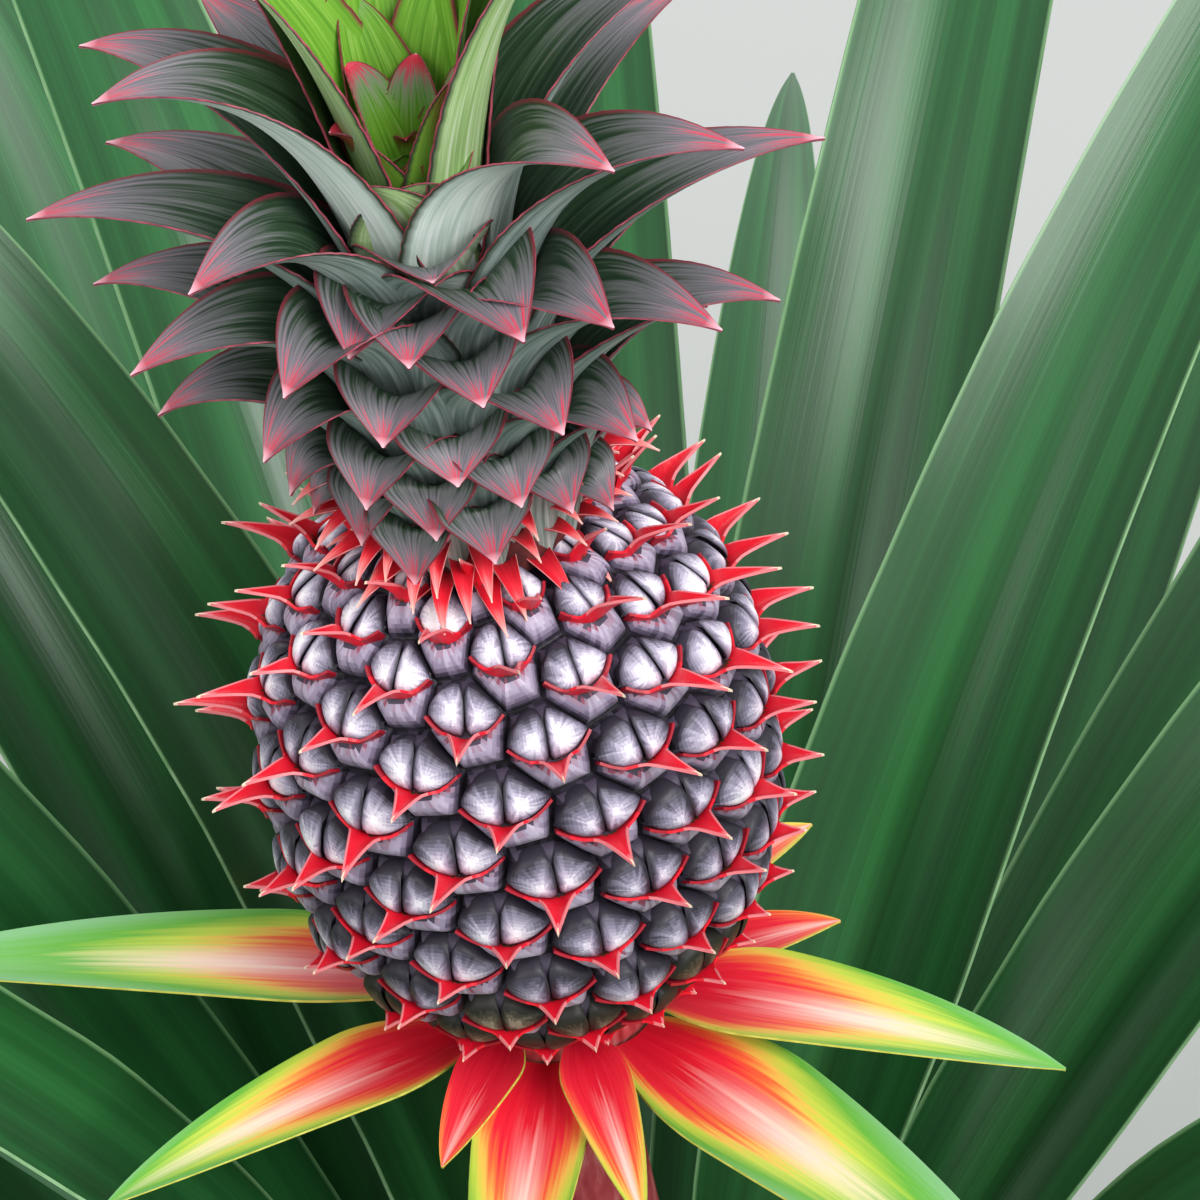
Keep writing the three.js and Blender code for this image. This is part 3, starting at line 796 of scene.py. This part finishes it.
def shape_blade(strip, name, line, half_width, fold, gutter, thick, ripple=None):
    """Copies the strip along a midline, folds it to a gutter and gives it a wall below its face.

    The fold is a list of (share of the length, degrees).
    """
    blade = add_piece(name, strip.data.copy())
    last = len(line) - 1
    weights = []
    for vertex in blade.data.vertices:
        u, share = vertex.co.x, vertex.co.y
        row = round(share * last)
        forward = (line[min(row + 1, last)] - line[max(row - 1, 0)]).normalized()
        across = Vector((-forward.y, forward.x, 0)).normalized()
        up = forward.cross(across)
        half = half_width(share)
        angle = math.radians(along(fold, share))
        rise = half * math.sin(angle) * abs(u) ** gutter
        if ripple:
            rise += ripple(u, share)
        vertex.co = line[row] - across * (u * half * math.cos(angle)) + up * rise
        weights.append(mix(1, EDGE_WALL, u * u) * mix(1, POINT_WALL, share))
    group = blade.vertex_groups.new(name="wall")
    for number, weight in enumerate(weights):
        group.add([number], weight, "REPLACE")
    wall = blade.modifiers.new("wall", "SOLIDIFY")
    wall.thickness = thick * MM
    wall.offset = -1
    wall.vertex_group = "wall"
    wall.material_offset = 1
    wall.material_offset_rim = 2
    bpy.ops.object.modifier_apply(modifier="wall")
    blade.vertex_groups.clear()
    smooth(50)
    return blade


def seat(blade, node, out):
    """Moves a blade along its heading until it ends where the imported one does."""
    low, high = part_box(node)
    side = 0 if abs(out.x) > abs(out.y) else 1
    tips = [vertex.co[side] for vertex in blade.data.vertices]
    shift = (high[side] - max(tips) if out[side] > 0 else low[side] - min(tips)) / out[side]
    blade.data.transform(Matrix.Translation(out * shift))


def maths(tree, operation, *values):
    """A sum on numbers and other nodes' outputs."""
    return add_node(tree, "Math", dict(enumerate(values)), operation=operation).outputs["Value"]


def share_of(tree, value, low, high):
    """0 where a value is low, 1 where it is high."""
    return add_node(tree, "MapRange", {"Value": value, "From Min": low, "From Max": high}).outputs["Result"]


def laid_over(tree, share, under, over):
    """One colour laid over another by a share."""
    return add_node(tree, "MixRGB", {"Fac": share, "Color1": under, "Color2": over}).outputs["Color"]


def cover(tree, colour, value, low, high, top):
    """Lays a plain colour over another where a value runs from low to high."""
    return laid_over(tree, share_of(tree, value, low, high), colour, srgb(top))


def blade_place(tree):
    """A blade's own coordinates: across it from 0 to 1, and along it from 0 at its foot to 1."""
    return add_node(tree, "UVMap", uv_map="UVMap").outputs["UV"]


def blade_parts(tree, place):
    """How far a place on a blade lies from its midline, 0.5 at both edges, and from its foot."""
    parts = add_node(tree, "SeparateXYZ", {"Vector": place})
    aside = maths(tree, "ABSOLUTE", maths(tree, "SUBTRACT", parts.outputs["X"], 0.5))
    return aside, parts.outputs["Y"]


def hem(name, dark, pale, flecks, roughness):
    """Finish of a blade's thin edge: two tones in flecks along its length."""
    made, tree, shader = new_material(name, Roughness=roughness, IOR=1.45)
    colour = ramp(tree, grain(tree, blade_place(tree), (4, flecks, 1), 3), [(0.35, dark), (0.65, pale)])
    tree.links.new(colour, shader.inputs["Base Color"])
    return made


# Upper face of a rosette leaf: a waxy cuticle over parallel fibres. It is dark green, with soft lighter
# bands some 13 mm wide, partly its own streaks and partly a painted sheen, and fibres about 1.3 mm
# apart that hardly show.
leaf_face, tree, shader = new_material(
    "leaf_upper_waxy", Roughness=0.34, IOR=1.45, Coat_Weight=0.3, Coat_Roughness=0.35
)
place = blade_place(tree)
aside, _ = blade_parts(tree, place)
fibres = grain(tree, place, (45, 1.2, 1), 2)
# The broad lighter bands are partly painted sheen along the leaf
streaks_and_sheen = laid_over(tree, 0.18, grain(tree, place, (4.5, 0.8, 1), 2), fibres)
green = ramp(tree, streaks_and_sheen, [(0.34, "#15431c"), (0.5, "#1f5c2a"), (0.64, "#2e753a"), (0.78, "#4c8f55")])
# The margin is a pale line about 1 mm wide along both edges
colour = cover(tree, green, aside, 0.482, 0.495, "#6f9c68")
tree.links.new(colour, shader.inputs["Base Color"])
emboss(tree, shader, fibres, 0.25, 0.4)

# Underside: scurf scales lie in lines between the fibres, so it is matt, grey-green and finely lined
leaf_back, tree, shader = new_material("leaf_underside_scurfy", Roughness=0.65, IOR=1.45)
lines = grain(tree, blade_place(tree), (60, 3, 1), 3)
colour = ramp(tree, lines, [(0.35, "#4a7d50"), (0.55, "#71a078"), (0.7, "#a3c2a5")])
tree.links.new(colour, shader.inputs["Base Color"])
emboss(tree, shader, lines, 0.3, 0.3)

# Margin: the leaf's hard, fibrous hem, bleached pale, in flecks of a centimetre or two
leaf_margin = hem("leaf_margin_pale", "#6b9966", "#93b88a", 60, 0.5)

leaf_strip = new_strip("leaf_strip", LEAF_SIDES, LEAF_ROWS, (leaf_face, leaf_back, leaf_margin))

for index in range(LEAF_COUNT):
    age = index / (LEAF_COUNT - 1)
    heading = LEAF_START + index * DIVERGENCE + math.radians(HEADING_SWAY * sway(index, 118))
    facing = max(0, math.cos(heading + math.pi / 2)) ** 2
    lift = mix(*LEAF_LIFT, age ** 0.8) - FRONT_LOWERED * age * facing + LIFT_SWAY * sway(index, 41)
    length = LEAF_LONGEST - LEAF_SHORTENING * (age - LONGEST_AGE) ** 2 + LENGTH_SWAY * sway(index, 1)
    foot = Vector((0, 0, mix(*LEAF_FOOT, age) * MM))
    arch, sideways = mix(*LEAF_ARCH, age), SIDE_SWAY * sway(index, 3)
    line = arched_line(foot, heading, length, lift, arch, sideways, LEAF_ROWS)

    def half_width(share):
        return long_half_width(LEAF_WIDTH, 0.36, share)

    def ripple(u, share):
        wave = math.sin(37 * share + 5 * index) + 0.6 * math.sin(83 * share + 2 * index)
        return 0.5 * MM * wave * abs(u) ** 5 * (1 - share)

    node = f"leaf_{index + 1:02d}"
    name = f"rosette_{node}"
    blade = shape_blade(leaf_strip, name, line, half_width, LEAF_FOLD, LEAF_GUTTER, LEAF_THICK, ripple)
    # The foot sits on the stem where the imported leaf's does, which its far end shows
    seat(blade, node, towards(heading))
    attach(blade, "root")
    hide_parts(node)
bpy.data.objects.remove(leaf_strip)


# Collar bracts
# A dozen gutter-shaped bracts stand out round the fruit's seat. Each runs from red at its foot over
# orange and yellow to a green tip, with a cream stripe down the middle and yellow-green edges.

# Heading, length, width and lift of each bract
COLLAR = [
    (182, 112, 27, 14),
    (214, 76, 23, 10),
    (246, 30, 14, -2),
    (264, 78, 23, 3),
    (284, 46, 14, 2),
    (312, 112, 30, 4),
    (337, 80, 25, 6),
    (4, 34, 17, 16),
    (34, 40, 20, 4),
    (66, 50, 22, 8),
    (98, 60, 24, 6),
    (140, 46, 22, 6),
]
COLLAR_SEATS = (-55.5, -60.5)
COLLAR_ARCH = 12
COLLAR_FOLD = [(0, 14)]
COLLAR_ROWS = 40
COLLAR_SIDES = 14
COLLAR_GUTTER, COLLAR_THICK = 1.6, 1.6
LONGEST_BRACT = 112


def frayed(tree, way, fibres, amount):
    """A way along a blade, shifted on or back by its fibres, so that colours end in streaks."""
    return maths(tree, "ADD", way, maths(tree, "MULTIPLY_ADD", fibres, amount, -amount / 2))


# Face of a collar bract: young, thin, juicy tissue, so it is satin. Colour runs along it by the distance
# from its foot, so that short bracts are red all over, and it runs ahead along the edges. The attribute
# reach holds each bract's length, in parts of the longest.
collar_face, tree, shader = new_material("collar_bract_satin", Roughness=0.4, IOR=1.42)
place = blade_place(tree)
aside, way = blade_parts(tree, place)
reach_of = add_node(tree, "Attribute", attribute_name="reach").outputs["Fac"]
fibres = grain(tree, place, (26, 2.2, 1), 3)
lead = maths(tree, "MULTIPLY", maths(tree, "POWER", aside, 3), reach_of)
ahead = maths(tree, "MULTIPLY_ADD", lead, 3.6, maths(tree, "MULTIPLY", way, reach_of))
run = frayed(tree, ahead, fibres, 0.3)
colour = ramp(
    tree,
    run,
    [
        (0.0, "#d40f2c"),
        (0.22, "#ee2a3c"),
        (0.32, "#f3713f"),
        (0.4, "#efbe55"),
        (0.49, "#bfd04a"),
        (0.66, "#62aa3a"),
        (1.0, "#7fb57c"),
    ],
)
# The pale stripe down the middle starts where the red fades and ends before the tip
stripe = maths(tree, "MULTIPLY", share_of(tree, aside, 0.2, 0.03), share_of(tree, run, 0.12, 0.32))
stripe = maths(tree, "MULTIPLY", stripe, share_of(tree, run, 0.68, 0.42))
striped = laid_over(tree, maths(tree, "MULTIPLY", stripe, 0.8), colour, srgb("#f9d9cf"))
tree.links.new(striped, shader.inputs["Base Color"])
emboss(tree, shader, fibres, 0.2, 0.3)

collar_margin = hem("collar_margin_yellow_green", "#b7b944", "#d9d461", 30, 0.5)


def mark(piece, name, value):
    """Gives a mesh an attribute with one value, which its finish reads."""
    values = piece.data.attributes.new(name, "FLOAT", "POINT")
    values.data.foreach_set("value", [value] * len(piece.data.vertices))


finishes = (collar_face, collar_face, collar_margin)
collar_strip = new_strip("collar_strip", COLLAR_SIDES, COLLAR_ROWS, finishes)

for index, (heading, length, width, lift) in enumerate(COLLAR):
    heading = math.radians(heading)
    foot = Vector((0, 0, COLLAR_SEATS[index % 2] * MM))
    line = arched_line(foot, heading, length, lift, COLLAR_ARCH, 0, COLLAR_ROWS)

    def half_width(share):
        return long_half_width(width, 0.4, share)

    name = f"collar_bract_{index + 1:02d}"
    blade = shape_blade(collar_strip, name, line, half_width, COLLAR_FOLD, COLLAR_GUTTER, COLLAR_THICK)
    node = f"bract_{index + 1:02d}"
    blade.data.transform(fruit_frame)
    mark(blade, "reach", length / LONGEST_BRACT)
    seat(blade, node, fruit_frame.to_3x3() @ towards(heading))
    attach(blade, "root")
    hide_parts(node)
bpy.data.objects.remove(collar_strip)


# Crown
# The leafy shoot on the fruit: seventy-nine short, stiff leaves on the same spiral. Outer ones clasp the
# core with silvery backs and arch out to dark green faces with red, finely toothed edges and pink
# points. Inner ones stand upright and are fresh yellow-green.
CROWN_LEAN_LEFT, CROWN_LEAN_FRONT = math.radians(0.5), math.radians(4.8)
CROWN_COUNT = 66
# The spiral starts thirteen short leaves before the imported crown's first, to cover the crown's foot
CROWN_FIRST = -13
CROWN_START = math.radians(38)
CROWN_CORE_HEIGHT = 60
CROWN_CORE = [(0, 19), (0.5, 17), (1, 5)]
CORE_SIDES, CORE_RINGS = 32, 12
CROWN_FOOT = (4, 70)
# The cup of tall leaves ends at the first of these ages, and the heart starts at the second
CUP_AGE, HEART_AGE = 0.72, 0.87
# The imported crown's innermost leaves are its tallest. The real ones stand short in a cup of tall ones.
CROWN_TIP_REACH = [(-0.2, 28), (0, 30), (0.2, 54), (0.45, 66), (0.7, 50), (0.8, 38), (0.88, 14), (1, 4)]
CROWN_TIP_HEIGHT = [(-0.2, 7), (0, 18), (0.2, 38), (0.45, 63), (0.7, 101), (0.8, 125), (0.88, 96), (1, 76)]
CROWN_ARCH = [(-0.2, 7), (0, 8), (0.2, 4), (0.45, 1.5), (0.75, 0), (1, 0)]
CROWN_CLASP = [(-0.2, 0.3), (0, 0.4), (0.3, 0.65), (1, 0.7)]
CROWN_LEAF_WIDTH = [(-0.2, 24), (0, 27), (0.2, 31), (0.7, 31), (0.85, 26), (1, 13)]
# How far the leaves that face the front are drawn in, and how much lower that sets their points
CROWN_FRONT_DRAWN_IN = [(-0.2, 3), (0, 5), (0.2, 27), (0.45, 36), (0.7, 25), (0.72, 0)]
CROWN_FRONT_LOWERED = [(-0.2, 0), (0, 1), (0.2, 9), (0.45, 13), (0.7, 36), (0.72, 0)]
# Leaves in and before the heart: reach and height of the point, width, and rise of the crest over it
CROWN_HEART = {
    40: (35, 60, 32, 4),
    43: (28, 56, 32, 4),
    48: (21, 65, 30, 2),
    51: (14, 77, 33, 0),
    53: (12, 76, 34, 0),
    56: (9, 72, 15, 0),
    58: (13, 92, 22, 0),
    59: (12, 84, 22, 0),
    60: (8, 88, 20, 0),
    61: (7, 78, 15, 0),
    62: (9, 90, 20, 0),
    63: (9, 84, 18, 0),
    64: (4, 72, 12, 0),
    65: (3, 76, 11, 0),
}
CROWN_ROWS = 64
CROWN_SIDES = 12
CROWN_GUTTER, CROWN_THICK = 1.5, 1.2
CROWN_FOLD = [(0, 40), (0.35, 34), (0.7, 26), (1, 20)]
CROWN_TEETH = 24

crown_frame = (
    fruit_frame
    @ Matrix.Translation((0, 0, (FRUIT_TOP + GAP + CROWN_CORE[0][1] * math.sin(CROWN_LEAN_FRONT)) * MM))
    @ Matrix.Rotation(CROWN_LEAN_FRONT, 4, "X")
    @ Matrix.Rotation(-CROWN_LEAN_LEFT, 4, "Y")
)

rings = []
for ring in range(CORE_RINGS + 1):
    share = ring / CORE_RINGS
    rings.append((Vector((0, 0, share * CROWN_CORE_HEIGHT * MM)), along(CROWN_CORE, share) * MM, 0))
core = ringed("crown_core", CORE_SIDES, rings)
core.data.transform(crown_frame)
smooth(50)

# Pith of the core: dull, corky tissue, red-brown where it shows between the leaves' feet
core_skin, tree, shader = new_material("crown_core_pith", Roughness=0.7, IOR=1.4)
cloud = grain(tree, add_node(tree, "TexCoord").outputs["Object"], (300, 300, 300), 4)
colour = ramp(tree, cloud, [(0.35, "#3c1a1a"), (0.65, "#6a2a2a")])
tree.links.new(colour, shader.inputs["Base Color"])
core.data.materials.append(core_skin)
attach(core, "root")
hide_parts("crown")


# Colours of the crown's leaves run from the outermost (age 0) to the innermost (age 1). Each leaf holds
# its age as an attribute of its mesh, so that one finish serves all.
def aged_colour(tree, value, age_of, stops, changes):
    """Colours along a value, which change to others between given ages."""
    mixed = ramp(tree, value, stops)
    for first, last, later_stops in changes:
        share = share_of(tree, age_of, first, last)
        mixed = laid_over(tree, share, mixed, ramp(tree, value, later_stops))
    return mixed


# Upper face: waxy and green, with fibres about 0.9 mm apart. Lavender scurf streaks it towards the
# point, which is rose and ends nearly white. The edges are maroon.
crown_face, tree, shader = new_material("crown_leaf_upper_waxy", Roughness=0.42, IOR=1.45)
place = blade_place(tree)
aside, way = blade_parts(tree, place)
age_of = add_node(tree, "Attribute", attribute_name="age").outputs["Fac"]
fibres = grain(tree, place, (34, 2.6, 1), 4)
green = aged_colour(
    tree,
    fibres,
    age_of,
    [(0.32, "#1a2f1c"), (0.5, "#2a432b"), (0.72, "#4d634c")],
    [(0.745, 0.8, [(0.36, "#5c9429"), (0.55, "#77ab36"), (0.7, "#97c157")])],
)
# Young leaves keep their green further up, and the innermost are red-brown over their upper half
streak = frayed(tree, way, fibres, 0.8)
held = maths(tree, "MULTIPLY_ADD", share_of(tree, age_of, 0.7, 0.85), -0.3, streak)
held = maths(tree, "MULTIPLY_ADD", share_of(tree, age_of, 0.87, 0.89), 0.5, held)
colour = cover(tree, green, held, 0.58, 1.0, "#8d8090")
colour = cover(tree, colour, held, 0.86, 0.98, "#d2304a")
colour = cover(tree, colour, way, 0.95, 1.0, "#f6c3cf")
colour = cover(tree, colour, aside, 0.46, 0.49, "#7a2a36")
tree.links.new(colour, shader.inputs["Base Color"])
emboss(tree, shader, fibres, 0.35, 0.4)

# Underside: a coat of silver scales hides the green, and turns lavender and rose towards the point
crown_back, tree, shader = new_material("crown_leaf_silver_scurf", Roughness=0.6, IOR=1.45)
place = blade_place(tree)
aside, way = blade_parts(tree, place)
age_of = add_node(tree, "Attribute", attribute_name="age").outputs["Fac"]
fibres = grain(tree, place, (36, 2.8, 1), 4)
silver = aged_colour(
    tree,
    fibres,
    age_of,
    [(0.34, "#6b8077"), (0.5, "#98aaa3"), (0.68, "#c3cfcb")],
    [
        (0.64, 0.68, [(0.34, "#b7cabf"), (0.5, "#d3e1d8"), (0.68, "#eff5f0")]),
        (0.71, 0.76, [(0.34, "#86ab62"), (0.5, "#a8c785"), (0.68, "#d3e4bd")]),
    ],
)
streak = frayed(tree, way, fibres, 0.8)
held = maths(tree, "MULTIPLY_ADD", share_of(tree, age_of, 0.7, 0.78), -0.5, streak)
colour = cover(tree, silver, held, 0.6, 0.9, "#9a8fa0")
colour = cover(tree, colour, held, 0.84, 0.98, "#cf5f7b")
# The innermost leaves have no scurf yet: they are green, and red-brown over their upper half
colour = cover(tree, colour, age_of, 0.87, 0.89, "#7fae3c")
browned = maths(tree, "MULTIPLY", share_of(tree, age_of, 0.87, 0.89), streak)
colour = cover(tree, colour, browned, 0.4, 0.8, "#9a3a35")
colour = cover(tree, colour, aside, 0.45, 0.49, "#33402f")
tree.links.new(colour, shader.inputs["Base Color"])
emboss(tree, shader, fibres, 0.35, 0.4)

# Margin: the hard, toothed hem of a crown leaf, maroon with lighter flecks
crown_margin = hem("crown_margin_maroon", "#6f2433", "#a84456", 24, 0.5)

finishes = (crown_face, crown_back, crown_margin)
crown_strip = new_strip("crown_strip", CROWN_SIDES, CROWN_ROWS, finishes)

for index in range(CROWN_FIRST, CROWN_COUNT):
    age = index / (CROWN_COUNT - 1)
    heading = CROWN_START + index * DIVERGENCE
    reach = along(CROWN_TIP_REACH, age)
    tip_height = along(CROWN_TIP_HEIGHT, age)
    foot_height = max(0, mix(*CROWN_FOOT, age) - 5)
    core_radius = along(CROWN_CORE, foot_height / CROWN_CORE_HEIGHT)
    out = towards(heading)
    rise = Vector((0, 0, 1))
    width = along(CROWN_LEAF_WIDTH, age)
    # Towards the front the leaves clasp the crown higher up and bend over in short points
    facing = max(0, math.cos(heading + math.pi / 2))
    reach -= along(CROWN_FRONT_DRAWN_IN, age) * facing
    tip_height -= along(CROWN_FRONT_LOWERED, age) * facing
    arch = along(CROWN_ARCH, age)
    clasp, spread = along(CROWN_CLASP, age), 0.5
    if age < CUP_AGE:
        arch += 3 * facing
        clasp, spread = mix(clasp, 1, facing), mix(0.5, 0.25, facing)
    if index in CROWN_HEART:
        reach, tip_height, width, arch = CROWN_HEART[index]
    crest = tip_height + arch
    guide = [
        out * (core_radius - 1.5) + rise * foot_height,
        out * (core_radius + 1.5) + rise * mix(foot_height, crest, clasp),
        out * mix(core_radius, reach, spread) + rise * crest,
        out * reach + rise * tip_height,
    ]
    line = [bezier(guide, row / CROWN_ROWS) * MM for row in range(CROWN_ROWS + 1)]
    # The point hooks down
    hook = 2 * (1 - age) + 0.8 * sway(index, 5)
    bluntness = 1.9 + 0.9 * facing if age < HEART_AGE else 1.2
    for row, point in enumerate(line):
        point.z -= hook * (row / CROWN_ROWS) ** 7 * MM

    def half_width(share):
        return width / 2 * MM * widened(0.9, share) * max(0.012, 1 - share ** bluntness)

    def ripple(u, share):
        tooth = abs(((share * CROWN_TEETH) % 1) - 0.5) * 2
        return 0.35 * MM * abs(u) ** 8 * tooth * (1 - share)

    name = f"crown_leaf_{index - CROWN_FIRST + 1:02d}"
    blade = shape_blade(crown_strip, name, line, half_width, CROWN_FOLD, CROWN_GUTTER, CROWN_THICK, ripple)
    blade.data.transform(crown_frame)
    mark(blade, "age", age)
    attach(blade, "root")
    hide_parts("crown")
bpy.data.objects.remove(crown_strip)


# Crown fringe
# Where the crown leaves the fruit, small red bract leaves stand out in rings and hang over the topmost
# fruitlets. They are thin and pointed, dark at the foot and pale at the point.
FRINGE_COUNT = 60
FRINGE_START = math.radians(20)
FRINGE_HEIGHTS = (-1, 13)
FRINGE_RADIUS = 16
FRINGE_ROWS, FRINGE_SIDES = 20, 8
FRINGE_GUTTER, FRINGE_THICK = 1.6, 0.7
FRINGE_FOLD = [(0, 28)]
# Middle and sway of the leaves' length, lift, arch and half width
FRINGE_LENGTH, FRINGE_LIFT, FRINGE_ARCH, FRINGE_HALF = (13, 4), (12, 22), (52, 14), (2.9, 0.6)

# Thin red tissue, dark where it leaves the crown's foot and bleached at its point
fringe_face, tree, shader = new_material("fringe_leaf_satin", Roughness=0.42, IOR=1.42)
place = blade_place(tree)
_, way = blade_parts(tree, place)
run = frayed(tree, way, grain(tree, place, (9, 1.2, 1), 3), 0.5)
stops = [(0.0, "#5c1019"), (0.3, "#c01226"), (0.65, "#ec2336"), (0.86, "#f38f8c"), (0.98, "#f9dccb")]
tree.links.new(ramp(tree, run, stops), shader.inputs["Base Color"])
fringe_margin = hem("fringe_margin_pink", "#e8737a", "#f6a5a3", 8, 0.45)


def swayed(middle_and_sway, index, seed):
    middle, reach = middle_and_sway
    return middle + reach * sway(index, seed)


finishes = (fringe_face, fringe_face, fringe_margin)
fringe_strip = new_strip("fringe_strip", FRINGE_SIDES, FRINGE_ROWS, finishes)

for index in range(FRINGE_COUNT):
    age = index / (FRINGE_COUNT - 1)
    heading = FRINGE_START + index * DIVERGENCE + math.radians(6 * sway(index, 14))
    foot = (towards(heading) * FRINGE_RADIUS + Vector((0, 0, mix(*FRINGE_HEIGHTS, age)))) * MM
    length, lift = swayed(FRINGE_LENGTH, index, 11), swayed(FRINGE_LIFT, index, 12)
    arch, sideways = swayed(FRINGE_ARCH, index, 15), 22 * sway(index, 13)
    line = arched_line(foot, heading, length, lift, arch, sideways, FRINGE_ROWS)
    half = swayed(FRINGE_HALF, index, 16) * MM

    def half_width(share):
        return half * max(0.03, (1 - share ** 1.4) ** 1.1)

    name = f"crown_fringe_{index + 1:02d}"
    blade = shape_blade(fringe_strip, name, line, half_width, FRINGE_FOLD, FRINGE_GUTTER, FRINGE_THICK)
    blade.data.transform(crown_frame)
    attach(blade, "root")
    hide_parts("crown")
bpy.data.objects.remove(fringe_strip)


# Floor and light
# The plant stands on a plain pale floor in soft studio light: a large lamp high at the front right,
# weaker ones at the front left and the back, and a bright, even surround.
FLOOR_SIDE = 40
deselect()
bpy.ops.mesh.primitive_plane_add(size=FLOOR_SIDE)
floor = bpy.context.object
floor.name = "floor"
floor_paint, _, _ = new_material("floor_pale_matt", Roughness=0.8, Base_Color=srgb("#b4b5b2"))
floor.data.materials.append(floor_paint)

LAMPS = [
    ("key_lamp", (3.3, -3.6, 5.5), 4.2, 500),
    ("fill_lamp", (-4.5, -3.0, 3.2), 5.4, 150),
    ("back_lamp", (-0.9, 4.8, 4.4), 4.8, 140),
]
for name, location, side, power in LAMPS:
    deselect()
    bpy.ops.object.light_add(type="AREA", location=location)
    lamp = bpy.context.object
    lamp.name = name
    lamp.data.size = side
    lamp.data.energy = power
    lamp.rotation_euler = (FRUIT_MIDDLE - Vector(location)).to_track_quat("-Z", "Y").to_euler()

world = bpy.data.worlds.new("studio")
world.use_nodes = True
surround = world.node_tree.nodes["Background"]
surround.inputs["Color"].default_value = srgb("#eef3f6")
surround.inputs["Strength"].default_value = 0.7
bpy.context.scene.world = world
bpy.context.scene.view_settings.view_transform = "Standard"
